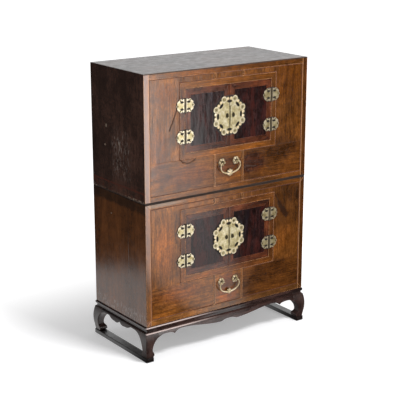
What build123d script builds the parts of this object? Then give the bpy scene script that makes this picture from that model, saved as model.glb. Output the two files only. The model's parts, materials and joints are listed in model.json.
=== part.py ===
from build123d import *
import os
from math import asin, cos, degrees, pi, radians, sin

# Korean two tier chest: two equal chests, one on the other, on a low stand with curled feet.
# Frame: +X to the right as one faces the doors, the front faces -Y, +Z is up.
# The origin lies on the floor under the middle of the whole object's box.

# ---------------------------------------------------------------- driving dimensions (mm)
# Chest
chest_width = 800.0
chest_depth = 390.0
chest_height = 502.0
board_thickness = 18.0
back_thickness = 8.0
back_inset = 2.0
glue_line = 0.1               # hairline left between the members of one frame

# Front of a chest
frame_face = 24.0             # face width of the outer frame
field_recess = 1.2            # how far the field boards lie behind the front plane
field_thickness = 9.0
tongue_length = 5.0
tongue_thickness = 5.0
post_face = 9.0
post_depth = 14.0
post_spacing = 140.0
post_groove = 3.0

# Door surround, and the doors in it
opening_width = 424.0
opening_height = 252.0
opening_drop = 198.0          # from the top of the chest to the middle of the opening
surround_face = 24.0
stop_width = 8.0
stop_thickness = 7.0
door_thickness = 18.0
door_clearance = 1.0          # round each door
door_gap = 2.0                # between the two doors
stop_clearance = 0.5
stile_face = 24.0
panel_recess = 0.5
panel_thickness = 9.0

# Brass hinges
hinge_spacing = 123.0
leaf_thickness = 1.6
leaf_width = 24.0             # straight part of a leaf, from the pin outward
leaf_height = 42.0
leaf_disc_radius = 16.0
leaf_disc_offset = 22.0
leaf_lobe_radius = 8.5
leaf_tip_offset = 35.7
leaf_tip_radius = 5.8
leaf_side_lobe_radius = 8.0
leaf_side_lobe_offset = 29.2
leaf_side_lobe_rise = 11.0
leaf_corner_offset = 21.0
leaf_corner_rise = 17.5
corner_nail_offset = 23.0
corner_nail_rise = 20.5
leaf_bud_radius = 5.0
leaf_bud_offset = 7.5
leaf_hole_length = 13.0
leaf_hole_width = 6.6
leaf_hole_offset = 15.5
leaf_hole_rise = 14.0
knuckle_radius = 3.5
knuckle_length = 53.0
middle_knuckle = 20.0
knuckle_play = 0.15
knuckle_standoff = 0.2
pin_radius = 1.6
pin_clearance = 0.05
pin_overhang = 1.5

# Brass nails with domed heads, which hold the plates and the hinge leaves
nail_head_radius = 3.4
nail_head_height = 1.3
nail_radius = 0.9
nail_length = 9.0             # under the head
nail_point = 3.0

# Brass lock plate
plate_thickness = 2.0
plate_lobe_count = 8
plate_lobe_ring_radius = 70.0  # of the circle that the large lobes stand on
plate_lobe_radius = 13.0
plate_core_radius = 67.5
plate_bud_radius = 6.8
plate_bud_ring_radius = 67.5
plate_bud_offset = 8.5
slot_ring_radius = 56.5
slot_length = 19.0
slot_width = 8.0
bar_width = 8.0
bar_height = 74.0
bar_thickness = 2.6
bar_round = 2.1
bar_offset = 2.0              # from the edge of the right door to the bar
staple_radius = 5.0
staple_wire = 1.5
staple_left = 11.0            # from the middle of the chest
staple_right = 19.0

# Bail handle
handle_drop = 37.0            # from the surround down to the pivot
handle_spacing = 70.0
handle_standoff = 12.0        # pivot in front of the front plane
eye_radius = 5.5
post_stem_radius = 3.0
stem_tail = 6.0
rosette_thickness = 1.8
rosette_core = 11.5
petal_ring_radius = 11.0
petal_radius = 5.2
petal_count = 8
boss_radius = 7.0
boss_height = 2.6
boss_slope = 30.0             # degrees
bail_wire = 2.7
bail_pin_radius = 2.0
bail_pin_clearance = 0.05
bail_shoulder_gap = 0.4
bail_half_width = 52.0
bail_height = 49.0
bail_turn_radius = 8.0
bail_side_radius = 28.0
bud_radius = 4.4              # knop at the middle of the bail: a bud above and a drop below
bud_rise = 4.4
drop_radius = 4.2
drop_fall = 2.0

# Stand
stand_height = 148.0
lip_height = 15.0
lip_overhang = 3.5
lip_round = 6.5
lip_edge_round = 6.0
rail_width = 46.0
waist_height = 8.0
waist_inset = 2.0
bead_height = 6.5
bead_overhang = 5.0
leg_bulge = 10.5
bulge_level = 80.0            # height of the widest point of the leg
ankle_level = 42.0
ankle_overhang = 7.0
foot_overhang = 3.5
leg_block = 50.0
ankle_width = 21.5            # from the chest's face in to the inner side of the ankle
toe_reach = 32.0
toe_level = 26.0
sole_width = 25.0             # from the chest's face in to the inner edge of the sole
arch_spring = 52.0            # height at which the arch leaves the ankle
arch_centre = 85.0            # from the chest's face in to the crown of the arch
arch_rise = 56.0
side_arch_rise = 63.0         # the arches at the ends rise higher
apron_thickness = 18.0
runner_height = 18.0
runner_overhang = 6.5
runner_width = 35.0
runner_round = 2.0
tenon_side = 12.0
tenon_length = 10.0

# Scalloped lower edges, measured from the middle of the apron and down from the chest's underside
lobe_half_width = 38.0
notch_drop = 46.0
lobe_drop = 53.0
side_notch_drop = 35.0
side_lobe_drop = 44.0
side_lobe_end = 82.0
crest_offset = 236.0
crest_drop = 35.0
cusp_offset = 272.5
cusp_drop = 49.0
lobe_curve = 76.0             # radii of the scallops
side_lobe_curve = 38.0

# ---------------------------------------------------------------- derived places
handle_reach = handle_standoff + eye_radius
front_y = -(chest_depth + leg_bulge - handle_reach) / 2
rear_y = front_y + chest_depth
middle_y = front_y + chest_depth / 2
half_width = chest_width / 2
half_depth = chest_depth / 2
tiers = {"lower": stand_height, "upper": stand_height + chest_height}

opening_half = opening_width / 2
surround_half = opening_half + surround_face
surround_depth = door_thickness + stop_clearance + stop_thickness
post_inner = post_spacing / 2 - post_face / 2
post_outer = post_spacing / 2 + post_face / 2
field_inner = half_width - frame_face
tongue_back = field_recess + field_thickness
tongue_front = tongue_back - tongue_thickness
door_outer = opening_half - door_clearance
door_inner = door_gap / 2
hinge_axis_x = opening_half
hinge_axis_y = front_y - knuckle_radius - knuckle_standoff
handle_axis_y = front_y - handle_standoff
nail_dome_radius = (nail_head_radius**2 + nail_head_height**2) / (2 * nail_head_height)

os.makedirs("parts", exist_ok=True)


def box(x_span, depth_span, z_span, mode=Mode.ADD):
    """A box given by its spans along X, back from the front plane, and along Z."""
    (x0, x1), (d0, d1), (z0, z1) = sorted(x_span), depth_span, sorted(z_span)
    with Locations(((x0 + x1) / 2, front_y + (d0 + d1) / 2, (z0 + z1) / 2)):
        Box(x1 - x0, d1 - d0, z1 - z0, mode=mode)


def mitres(x_span, depth_span, z_span, face):
    """Cut the glue lines at the four corners of a frame whose members are `face` wide."""
    (x0, x1), (d0, d1), (z0, z1) = sorted(x_span), depth_span, sorted(z_span)
    for x, x_side in ((x0 + face / 2, -1), (x1 - face / 2, 1)):
        for z, z_side in ((z0 + face / 2, -1), (z1 - face / 2, 1)):
            with Locations(Location((x, front_y + (d0 + d1) / 2, z), (0, -45 * x_side * z_side, 0))):
                Box(2 * face, d1 - d0, glue_line, mode=Mode.SUBTRACT)


def inset(span, amount):
    """A span made shorter by `amount` at both ends."""
    return (min(span) + amount, max(span) - amount)


def leaf_outline(axis_x, z, side):
    """One lobed hinge leaf in the front plane, on the side of its pin that `side` tells."""
    with Locations((axis_x + side * leaf_width / 2, z)):
        Rectangle(leaf_width, leaf_height)
    with Locations((axis_x + side * leaf_disc_offset, z)):
        Circle(leaf_disc_radius)
    with Locations((axis_x + side * leaf_tip_offset, z)):
        Circle(leaf_tip_radius)
    for z_side in (-1, 1):
        with Locations((axis_x + side * leaf_side_lobe_offset, z + z_side * leaf_side_lobe_rise)):
            Circle(leaf_side_lobe_radius)
        with Locations((axis_x + side * leaf_corner_offset, z + z_side * leaf_corner_rise)):
            Circle(leaf_lobe_radius)
        with Locations((axis_x + side * leaf_bud_offset, z + z_side * leaf_height / 2)):
            Circle(leaf_bud_radius)
        with Locations((axis_x + side * leaf_hole_offset, z + z_side * leaf_hole_rise)):
            Ellipse(leaf_hole_length / 2, leaf_hole_width / 2, mode=Mode.SUBTRACT)


def leaf_nail_places(axis_x, z, side):
    """Places (x, z) of the three nails of the leaf that leaf_outline draws."""
    places = [(axis_x + side * leaf_tip_offset, z)]
    for z_side in (-1, 1):
        places.append((axis_x + side * corner_nail_offset, z + z_side * corner_nail_rise))
    return places


def plate_nail_places(z, side):
    """Places (x, z) of the nails in the large lobes of one half of a lock plate."""
    step = 2 * pi / plate_lobe_count
    angles = [step * (index + 0.5) for index in range(plate_lobe_count)]
    ring = plate_lobe_ring_radius
    lobes = [(ring * cos(angle), z + ring * sin(angle)) for angle in angles]
    return [(x, lobe_z) for x, lobe_z in lobes if x * side > 0]


def nail_seats(places, plate):
    """Where nails sit whose heads bear on a plate that lies on the front plane."""
    return Locations(*[Location((x, front_y - plate, z), (90, 0, 0)) for x, z in places])


def nail_bores(places, plate):
    """Cut the bores of the nails that nail_seats places."""
    with nail_seats(places, plate):
        Cylinder(nail_radius, 2 * nail_length, mode=Mode.SUBTRACT)


def outer_bow():
    """Outer side of legs and aprons under the lip: waist, bead, then a bow down to the ankle."""
    waist_foot = stand_height - lip_height - waist_height
    Line((waist_inset, stand_height - lip_height), (waist_inset, waist_foot))
    TangentArc((waist_inset, waist_foot), (-bead_overhang, waist_foot - bead_height), tangent=(-1, 0))
    ThreePointArc(
        (-bead_overhang, waist_foot - bead_height),
        (-leg_bulge, bulge_level),
        (-ankle_overhang, ankle_level),
    )


def leg_profile(plane, rise):
    """One view of a leg under an arch of this rise. Local X runs inward from the chest, local Y up."""
    top = stand_height - lip_height
    toe = (toe_reach, toe_level)
    neck = (ankle_width, arch_spring)
    instep = ((toe_reach + ankle_width) / 2, (toe_level + arch_spring) / 2)
    with BuildSketch(plane) as profile:
        with BuildLine():
            outer_bow()
            Line((-ankle_overhang, ankle_level), (-foot_overhang, runner_height))
            Line((-foot_overhang, runner_height), (sole_width, runner_height))
            TangentArc(toe, (sole_width, runner_height), tangent=(0, -1))
            TangentArc(toe, instep, tangent=(0, 1))
            TangentArc(neck, instep, tangent=(0, -1))
            EllipticalCenterArc(
                (arch_centre, arch_spring),
                arch_centre - ankle_width,
                rise,
                start_angle=90,
                arc_size=90,
            )
            Line((arch_centre, arch_spring + rise), (arch_centre, top))
            Line((arch_centre, top), (waist_inset, top))
        make_face()
        with Locations((leg_block - stand_height, 0)):
            Rectangle(2 * stand_height, 3 * stand_height, mode=Mode.INTERSECT)
    return profile.sketch


def apron_section(plane):
    """Cross section of an apron. Local X runs inward from the face of the chest, local Y up."""
    top = stand_height - lip_height
    inner = waist_inset + apron_thickness
    with BuildSketch(plane) as section:
        with BuildLine():
            outer_bow()
            Line((-ankle_overhang, ankle_level), (inner, ankle_level))
            Line((inner, ankle_level), (inner, top))
            Line((inner, top), (waist_inset, top))
        make_face()
    return section.sketch


def apron_face(plane, half_span, style):
    """Front view of an apron that spans `half_span` each way to the corner of the chest.

    The right half is drawn from the middle outward and then mirrored.
    """
    top = stand_height - lip_height
    rise = side_arch_rise if style == "side" else arch_rise
    crown = arch_spring + rise
    crown_x = half_span - arch_centre
    with BuildSketch(plane) as face:
        with BuildLine():
            if style == "front":
                notch = (0, stand_height - notch_drop)
                lobe = (lobe_half_width, stand_height - lobe_drop)
                crest = (crest_offset, stand_height - crest_drop)
                cusp = (cusp_offset, stand_height - cusp_drop)
                RadiusArc(notch, lobe, lobe_curve)
                Spline(lobe, crest, tangents=((1, 0), (1, 0)))
                TangentArc(crest, cusp, tangent=(1, 0))
                Spline(cusp, (crown_x, crown), tangents=((1, 1), (1, 0)))
            elif style == "side":
                notch = (0, stand_height - side_notch_drop)
                lobe = (lobe_half_width, stand_height - side_lobe_drop)
                RadiusArc(notch, lobe, -side_lobe_curve)
                RadiusArc(lobe, (side_lobe_end, crown), -lobe_curve)
                Line((side_lobe_end, crown), (crown_x, crown))
            else:
                notch = (0, crown)
                Line(notch, (crown_x, crown))
            EllipticalCenterArc(
                (crown_x, arch_spring),
                arch_centre - ankle_width,
                rise,
                start_angle=0,
                arc_size=90,
            )
            Line((half_span - ankle_width, arch_spring), (half_span - ankle_width, top))
            Line((half_span - ankle_width, top), (0, top))
            Line((0, top), notch)
        make_face()
        mirror(about=Plane.YZ)
        Rectangle(2 * (half_span - leg_block), 3 * stand_height, mode=Mode.INTERSECT)
    return face.sketch


# ---------------------------------------------------------------- stand
with BuildPart() as stand_frame:
    with BuildSketch(Plane.XY.offset(stand_height - lip_height)):
        with Locations((0, middle_y)):
            Rectangle(chest_width + 2 * lip_overhang, chest_depth + 2 * lip_overhang)
    extrude(amount=lip_height)
    fillet(stand_frame.faces().sort_by(Axis.Z)[0].edges(), radius=lip_round)
    fillet(stand_frame.faces().sort_by(Axis.Z)[-1].edges(), radius=lip_edge_round)
    with Locations((0, middle_y, stand_height - lip_height / 2)):
        Box(
            chest_width + 2 * lip_overhang - 2 * rail_width,
            chest_depth + 2 * lip_overhang - 2 * rail_width,
            lip_height,
            mode=Mode.SUBTRACT,
        )
    for x_side in (-1, 1):
        for y_side in (-1, 1):
            corner_x = x_side * (half_width + lip_overhang - rail_width / 2)
            corner_y = middle_y + y_side * (half_depth + lip_overhang - rail_width / 2)
            with Locations(
                Location((corner_x, corner_y, stand_height - lip_height / 2), (0, 0, 45 * x_side * y_side))
            ):
                Box(2 * rail_width, glue_line, lip_height, mode=Mode.SUBTRACT)
stand_frame.part.label = "stand_frame"
export_step(stand_frame.part, "parts/stand_frame.step")

x_corners = {"left": -1, "right": 1}
y_corners = {"front": -1, "rear": 1}
for y_name, y_side in y_corners.items():
    for x_name, x_side in x_corners.items():
        corner = Vector(x_side * half_width, middle_y + y_side * half_depth, 0)
        front_plane = Plane(corner, x_dir=(-x_side, 0, 0), z_dir=(0, x_side, 0))
        side_plane = Plane(corner, x_dir=(0, -y_side, 0), z_dir=(-y_side, 0, 0))
        front_view = leg_profile(front_plane, arch_rise)
        side_view = leg_profile(side_plane, side_arch_rise)
        tenon_inset = (sole_width - foot_overhang) / 2
        with BuildPart() as leg:
            extrude(front_view, amount=chest_depth, both=True)
            extrude(side_view, amount=chest_width, both=True, mode=Mode.INTERSECT)
            with Locations(
                (
                    corner.X - x_side * tenon_inset,
                    corner.Y - y_side * tenon_inset,
                    runner_height - tenon_length / 2,
                )
            ):
                Box(tenon_side, tenon_side, tenon_length)
        leg.part.label = f"{y_name}_{x_name}_leg"
        export_step(leg.part, f"parts/{y_name}_{x_name}_leg.step")

with BuildPart() as runners:
    for x_side in x_corners.values():
        outer_x = x_side * (half_width + runner_overhang)
        with Locations((outer_x - x_side * runner_width / 2, middle_y, runner_height / 2)):
            Box(runner_width, chest_depth + 2 * runner_overhang, runner_height)
    fillet(runners.edges().filter_by(Axis.Z), radius=runner_round)
    fillet(runners.faces().group_by(Axis.Z)[-1].edges(), radius=runner_round)
    for x_side in x_corners.values():
        for y_side in y_corners.values():
            with Locations(
                (
                    x_side * (half_width - tenon_inset),
                    middle_y + y_side * (half_depth - tenon_inset),
                    runner_height - tenon_length / 2,
                )
            ):
                Box(tenon_side, tenon_side, tenon_length, mode=Mode.SUBTRACT)
runners.part.label = "runners"
export_step(runners.part, "parts/runners.step")

for y_name, y_side, style in (("front", -1, "front"), ("rear", 1, "plain")):
    face_y = middle_y + y_side * half_depth
    section = apron_section(Plane((0, face_y, 0), x_dir=(0, -y_side, 0), z_dir=(-y_side, 0, 0)))
    outline = apron_face(Plane((0, face_y, 0), x_dir=(1, 0, 0), z_dir=(0, -1, 0)), half_width, style)
    with BuildPart() as apron:
        extrude(section, amount=half_width - leg_block, both=True)
        extrude(outline, amount=half_depth, both=True, mode=Mode.INTERSECT)
    apron.part.label = f"{y_name}_apron"
    export_step(apron.part, f"parts/{y_name}_apron.step")

for x_name, x_side in x_corners.items():
    face_x = x_side * half_width
    section = apron_section(Plane((face_x, middle_y, 0), x_dir=(-x_side, 0, 0), z_dir=(0, x_side, 0)))
    outline = apron_face(Plane((face_x, middle_y, 0), x_dir=(0, 1, 0), z_dir=(1, 0, 0)), half_depth, "side")
    with BuildPart() as apron:
        extrude(section, amount=half_depth - leg_block, both=True)
        extrude(outline, amount=half_width / 2, both=True, mode=Mode.INTERSECT)
    apron.part.label = f"{x_name}_apron"
    export_step(apron.part, f"parts/{x_name}_apron.step")


# ---------------------------------------------------------------- one nail, pointing down from the origin
with BuildPart() as nail:
    with BuildSketch(Plane.XZ):
        with BuildLine():
            Line((0, nail_head_height), (0, -nail_length))
            Line((0, -nail_length), (nail_radius, nail_point - nail_length))
            Line((nail_radius, nail_point - nail_length), (nail_radius, 0))
            Line((nail_radius, 0), (nail_head_radius, 0))
            RadiusArc((nail_head_radius, 0), (0, nail_head_height), -nail_dome_radius)
        make_face()
    revolve(axis=Axis.Z)


# ---------------------------------------------------------------- the two chests
for tier, base_z in tiers.items():
    top_z = base_z + chest_height
    mid_z = base_z + chest_height / 2
    inner_z = (base_z + frame_face, top_z - frame_face)
    mid_opening_z = top_z - opening_drop
    opening_z = (mid_opening_z - opening_height / 2, mid_opening_z + opening_height / 2)
    surround_z = inset(opening_z, -surround_face)
    hinge_zs = (mid_opening_z - hinge_spacing / 2, mid_opening_z + hinge_spacing / 2)
    frame_nails = []
    for x_side in x_corners.values():
        for hinge_z in hinge_zs:
            frame_nails += leaf_nail_places(x_side * hinge_axis_x, hinge_z, x_side)

    # Carcass: four boards, mitred to each other and to the front frame
    overrun = 2 * board_thickness
    for board, origin, normal, breadth in (
        ("top_board", (0, middle_y, top_z), (0, 0, -1), chest_width),
        ("bottom_board", (0, middle_y, base_z), (0, 0, 1), chest_width),
        ("left_side", (-half_width, middle_y, mid_z), (1, 0, 0), chest_height),
        ("right_side", (half_width, middle_y, mid_z), (-1, 0, 0), chest_height),
    ):
        with BuildPart() as carcass_board:
            with BuildSketch(Plane(origin, x_dir=(0, 1, 0), z_dir=normal)):
                with Locations((overrun / 2, 0)):
                    Rectangle(chest_depth + overrun, breadth)
            extrude(amount=board_thickness, taper=45)
            split(bisect_by=Plane((0, rear_y, 0), z_dir=(0, -1, 0)), keep=Keep.TOP)
        carcass_board.part.label = f"{tier}_{board}"
        export_step(carcass_board.part, f"parts/{tier}_{board}.step")

    with BuildPart() as back_panel:
        with Locations((0, rear_y - back_inset - back_thickness / 2, mid_z)):
            Box(
                chest_width - 2 * board_thickness,
                back_thickness,
                chest_height - 2 * board_thickness,
            )
    back_panel.part.label = f"{tier}_back_panel"
    export_step(back_panel.part, f"parts/{tier}_back_panel.step")

    # Field boards: a face between the frames and tongues that go into their grooves
    face_depth = (field_recess, tongue_back)
    tongue_depth = (tongue_front, tongue_back)
    strip_zs = (inner_z[0], surround_z[0]), (surround_z[1], inner_z[1])
    pivot_z = surround_z[0] - handle_drop
    handle_xs = (-handle_spacing / 2, handle_spacing / 2)
    faces = []
    tongues = []
    for x_side in x_corners.values():
        seam = x_side * (surround_half - glue_line)
        faces.append(((x_side * surround_half, x_side * field_inner), inner_z))
        tongues.append(
            ((x_side * surround_half, x_side * (field_inner + tongue_length)), inset(inner_z, -tongue_length))
        )
        tongues.append(
            (
                (x_side * (surround_half - tongue_length), x_side * surround_half),
                inset(surround_z, tongue_length + glue_line),
            )
        )
        for strip_z in strip_zs:
            faces.append(((x_side * post_outer, seam), strip_z))
            tongues.append(((x_side * (post_outer - post_groove), seam), inset(strip_z, -tongue_length)))
    for strip_z in strip_zs:
        faces.append(((-post_inner, post_inner), strip_z))
        tongues.append(
            ((-post_inner - post_groove, post_inner + post_groove), inset(strip_z, -tongue_length))
        )
    with BuildPart() as field_boards:
        for face_x, face_z in faces:
            box(face_x, face_depth, face_z)
        for tongue_x, tongue_z in tongues:
            box(tongue_x, tongue_depth, tongue_z)
        with Locations(*[Location((x, front_y, pivot_z), (90, 0, 0)) for x in handle_xs]):
            Cylinder(post_stem_radius, 2 * surround_depth, mode=Mode.SUBTRACT)
        nail_bores(frame_nails, leaf_thickness)
    field_boards.part.label = f"{tier}_field_boards"
    export_step(field_boards.part, f"parts/{tier}_field_boards.step")

    with BuildPart() as front_frame:
        with BuildSketch(Plane((0, front_y, mid_z), x_dir=(-1, 0, 0), z_dir=(0, 1, 0))):
            Rectangle(chest_width, chest_height)
        extrude(amount=board_thickness, taper=45)
        box((-field_inner, field_inner), (0, board_thickness), inner_z, mode=Mode.SUBTRACT)
        for tongue_x, tongue_z in tongues:
            box(tongue_x, tongue_depth, tongue_z, mode=Mode.SUBTRACT)
        mitres((-half_width, half_width), (0, board_thickness), (base_z, top_z), frame_face)
    front_frame.part.label = f"{tier}_front_frame"
    export_step(front_frame.part, f"parts/{tier}_front_frame.step")

    # Door surround: proud of the fields, rebated at the back as a stop for the doors
    opening_x = (-opening_half, opening_half)
    surround_x = (-surround_half, surround_half)
    with BuildPart() as door_surround:
        box(surround_x, (0, surround_depth), surround_z)
        box(opening_x, (0, surround_depth - stop_thickness), opening_z, mode=Mode.SUBTRACT)
        box(
            inset(opening_x, stop_width),
            (0, surround_depth),
            inset(opening_z, stop_width),
            mode=Mode.SUBTRACT,
        )
        for tongue_x, tongue_z in tongues:
            box(tongue_x, tongue_depth, tongue_z, mode=Mode.SUBTRACT)
        mitres(surround_x, (0, surround_depth), surround_z, surround_face + stop_width)
        nail_bores(frame_nails, leaf_thickness)
    door_surround.part.label = f"{tier}_door_surround"
    export_step(door_surround.part, f"parts/{tier}_door_surround.step")

    with BuildPart() as front_posts:
        for strip_z in strip_zs:
            for x_side in x_corners.values():
                box((x_side * post_inner, x_side * post_outer), (0, post_depth), strip_z)
        for tongue_x, tongue_z in tongues:
            box(tongue_x, tongue_depth, tongue_z, mode=Mode.SUBTRACT)
    front_posts.part.label = f"{tier}_front_posts"
    export_step(front_posts.part, f"parts/{tier}_front_posts.step")

    # Doors: a mitred frame round a panel that is flush with it
    door_z = inset(opening_z, door_clearance)
    panel_z = inset(door_z, stile_face)
    panel_back = panel_recess + panel_thickness
    panel_tongue_depth = (panel_back - tongue_thickness, panel_back)
    for side_name, x_side in x_corners.items():
        door_x = (x_side * door_inner, x_side * door_outer)
        panel_x = inset(door_x, stile_face)
        plate_nails = plate_nail_places(mid_opening_z, x_side)
        leaf_nails = []
        for hinge_z in hinge_zs:
            leaf_nails += leaf_nail_places(x_side * hinge_axis_x, hinge_z, -x_side)
        with BuildPart() as door_panel:
            box(panel_x, (panel_recess, panel_back), panel_z)
            box(inset(panel_x, -tongue_length), panel_tongue_depth, inset(panel_z, -tongue_length))
            nail_bores(plate_nails, plate_thickness)
            nail_bores(leaf_nails, leaf_thickness)
        door_panel.part.label = f"{tier}_{side_name}_door_panel"
        export_step(door_panel.part, f"parts/{tier}_{side_name}_door_panel.step")

        with BuildPart() as door_frame:
            box(door_x, (0, door_thickness), door_z)
            box(panel_x, (0, door_thickness), panel_z, mode=Mode.SUBTRACT)
            box(
                inset(panel_x, -tongue_length),
                panel_tongue_depth,
                inset(panel_z, -tongue_length),
                mode=Mode.SUBTRACT,
            )
            mitres(door_x, (0, door_thickness), door_z, stile_face)
            nail_bores(leaf_nails, leaf_thickness)
        door_frame.part.label = f"{tier}_{side_name}_door_frame"
        export_step(door_frame.part, f"parts/{tier}_{side_name}_door_frame.step")

        with BuildPart() as door_nails:
            with nail_seats(plate_nails, plate_thickness):
                add(nail.part)
            with nail_seats(leaf_nails, leaf_thickness):
                add(nail.part)
        door_nails.part.label = f"{tier}_{side_name}_door_nails"
        export_step(door_nails.part, f"parts/{tier}_{side_name}_door_nails.step")

    # Lock plate: eight nailed lobes with pairs of buds between them, sawn in two at the doors' seam
    front_plane = Plane.XZ.offset(-front_y)
    half_step = 180 / plate_lobe_count
    for side_name, x_side in x_corners.items():
        staple_x = x_side * (staple_left if x_side < 0 else staple_right)
        staple_y = front_y - plate_thickness - staple_radius / 2
        with BuildPart() as lock_plate:
            with BuildSketch(front_plane):
                with Locations((0, mid_opening_z)):
                    Circle(plate_core_radius)
                    with PolarLocations(plate_lobe_ring_radius, plate_lobe_count, start_angle=half_step):
                        Circle(plate_lobe_radius)
                    with PolarLocations(plate_bud_ring_radius, plate_lobe_count):
                        with Locations((0, plate_bud_offset), (0, -plate_bud_offset)):
                            Circle(plate_bud_radius)
                    with PolarLocations(slot_ring_radius, plate_lobe_count):
                        SlotOverall(slot_length, slot_width, rotation=90, mode=Mode.SUBTRACT)
            extrude(amount=plate_thickness)
            keep_x = (x_side * door_inner, x_side * half_width)
            box(keep_x, (-handle_reach, 0), inset(opening_z, -surround_face), mode=Mode.INTERSECT)
            with Locations(Location((staple_x, staple_y, mid_opening_z), (0, 90, 0))):
                Torus(staple_radius, staple_wire)
            if x_side > 0:
                bar_x = door_inner + bar_offset
                with Locations((bar_x + bar_width / 2, front_y - plate_thickness, mid_opening_z)):
                    Box(bar_width, 2 * bar_thickness, bar_height)
                bar_front = lock_plate.faces().filter_by(Axis.Y).sort_by(Axis.Y)[0]
                fillet(bar_front.edges().filter_by(Axis.Z), radius=bar_round)
            box(keep_x, (0, handle_reach), inset(opening_z, -surround_face), mode=Mode.SUBTRACT)
            nail_bores(plate_nail_places(mid_opening_z, x_side), plate_thickness)
        lock_plate.part.label = f"{tier}_{side_name}_lock_plate"
        export_step(lock_plate.part, f"parts/{tier}_{side_name}_lock_plate.step")

    # Hinges: the frame leaf carries the outer knuckles and the door leaf the middle one
    outer_knuckle = (knuckle_length - middle_knuckle) / 2 - knuckle_play
    outer_shift = (knuckle_length - outer_knuckle) / 2
    leaf_clearance = knuckle_radius + knuckle_standoff
    barrel_depth = (-2 * leaf_clearance, 0)
    with BuildPart() as frame_leaves:
        with BuildSketch(front_plane):
            for x_side in x_corners.values():
                for hinge_z in hinge_zs:
                    leaf_outline(x_side * hinge_axis_x, hinge_z, x_side)
        extrude(amount=leaf_thickness)
        for x_side in x_corners.values():
            axis_x = x_side * hinge_axis_x
            for hinge_z in hinge_zs:
                middle_z = (
                    hinge_z - middle_knuckle / 2 - knuckle_play,
                    hinge_z + middle_knuckle / 2 + knuckle_play,
                )
                barrel_x = (axis_x - leaf_clearance, axis_x + leaf_clearance)
                box(barrel_x, barrel_depth, middle_z, mode=Mode.SUBTRACT)
                for z_side in (-1, 1):
                    with Locations((axis_x, hinge_axis_y, hinge_z + z_side * outer_shift)):
                        Cylinder(knuckle_radius, outer_knuckle)
                with Locations((axis_x, hinge_axis_y, hinge_z)):
                    Cylinder(pin_radius, 2 * knuckle_length, mode=Mode.SUBTRACT)
        nail_bores(frame_nails, leaf_thickness)
    frame_leaves.part.label = f"{tier}_frame_hinge_leaves"
    export_step(frame_leaves.part, f"parts/{tier}_frame_hinge_leaves.step")

    with BuildPart() as frame_hinge_nails:
        with nail_seats(frame_nails, leaf_thickness):
            add(nail.part)
    frame_hinge_nails.part.label = f"{tier}_frame_hinge_nails"
    export_step(frame_hinge_nails.part, f"parts/{tier}_frame_hinge_nails.step")

    for side_name, x_side in x_corners.items():
        axis_x = x_side * hinge_axis_x
        barrel_x = (axis_x - leaf_clearance, axis_x + leaf_clearance)
        with BuildPart() as door_leaves:
            with BuildSketch(front_plane):
                for hinge_z in hinge_zs:
                    leaf_outline(axis_x, hinge_z, -x_side)
            extrude(amount=leaf_thickness)
            for hinge_z in hinge_zs:
                for z_side in (-1, 1):
                    outer_z = (
                        hinge_z + z_side * middle_knuckle / 2,
                        hinge_z + z_side * knuckle_length,
                    )
                    box(barrel_x, barrel_depth, outer_z, mode=Mode.SUBTRACT)
                with Locations((axis_x, hinge_axis_y, hinge_z)):
                    Cylinder(knuckle_radius, middle_knuckle)
                    Cylinder(pin_radius + pin_clearance, 2 * knuckle_length, mode=Mode.SUBTRACT)
                nail_bores(leaf_nail_places(axis_x, hinge_z, -x_side), leaf_thickness)
        door_leaves.part.label = f"{tier}_{side_name}_door_hinge_leaves"
        export_step(door_leaves.part, f"parts/{tier}_{side_name}_door_hinge_leaves.step")

    with BuildPart() as hinge_pins:
        for x_side in x_corners.values():
            for hinge_z in hinge_zs:
                with Locations((x_side * hinge_axis_x, hinge_axis_y, hinge_z)):
                    Cylinder(pin_radius, knuckle_length + 2 * pin_overhang)
    hinge_pins.part.label = f"{tier}_hinge_pins"
    export_step(hinge_pins.part, f"parts/{tier}_hinge_pins.step")

    # Handle: rosettes on the panel, eye posts through them, and the bail between the eyes
    panel_plane = Plane.XZ.offset(-front_y - field_recess)
    with BuildPart() as rosettes:
        with BuildSketch(panel_plane):
            with Locations(*[(x, pivot_z) for x in handle_xs]):
                Circle(rosette_core)
                with PolarLocations(petal_ring_radius, petal_count):
                    Circle(petal_radius)
        extrude(amount=rosette_thickness)
        with BuildSketch(panel_plane.offset(rosette_thickness)):
            with Locations(*[(x, pivot_z) for x in handle_xs]):
                Circle(boss_radius)
        extrude(amount=boss_height, taper=boss_slope)
        with Locations(*[Location((x, front_y, pivot_z), (90, 0, 0)) for x in handle_xs]):
            Cylinder(post_stem_radius, 2 * surround_depth, mode=Mode.SUBTRACT)
    rosettes.part.label = f"{tier}_handle_rosettes"
    export_step(rosettes.part, f"parts/{tier}_handle_rosettes.step")

    stem_back = field_recess + field_thickness + stem_tail
    stem_length = handle_standoff + stem_back
    with BuildPart() as eye_posts:
        for x in handle_xs:
            with BuildSketch(Plane((x, handle_axis_y, pivot_z), x_dir=(0, 1, 0), z_dir=(1, 0, 0))):
                Circle(eye_radius)
                with Locations((stem_length / 2, 0)):
                    Rectangle(stem_length, 2 * post_stem_radius)
                with Locations((0, -stem_length)):
                    Rectangle(4 * stem_length, 2 * stem_length, mode=Mode.SUBTRACT)
            revolve(axis=Axis((x, handle_axis_y, pivot_z), (0, 1, 0)))
            with Locations(Location((x, handle_axis_y, pivot_z), (0, 90, 0))):
                Cylinder(bail_pin_radius + bail_pin_clearance, 4 * eye_radius, mode=Mode.SUBTRACT)
    eye_posts.part.label = f"{tier}_handle_posts"
    export_step(eye_posts.part, f"parts/{tier}_handle_posts.step")

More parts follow.
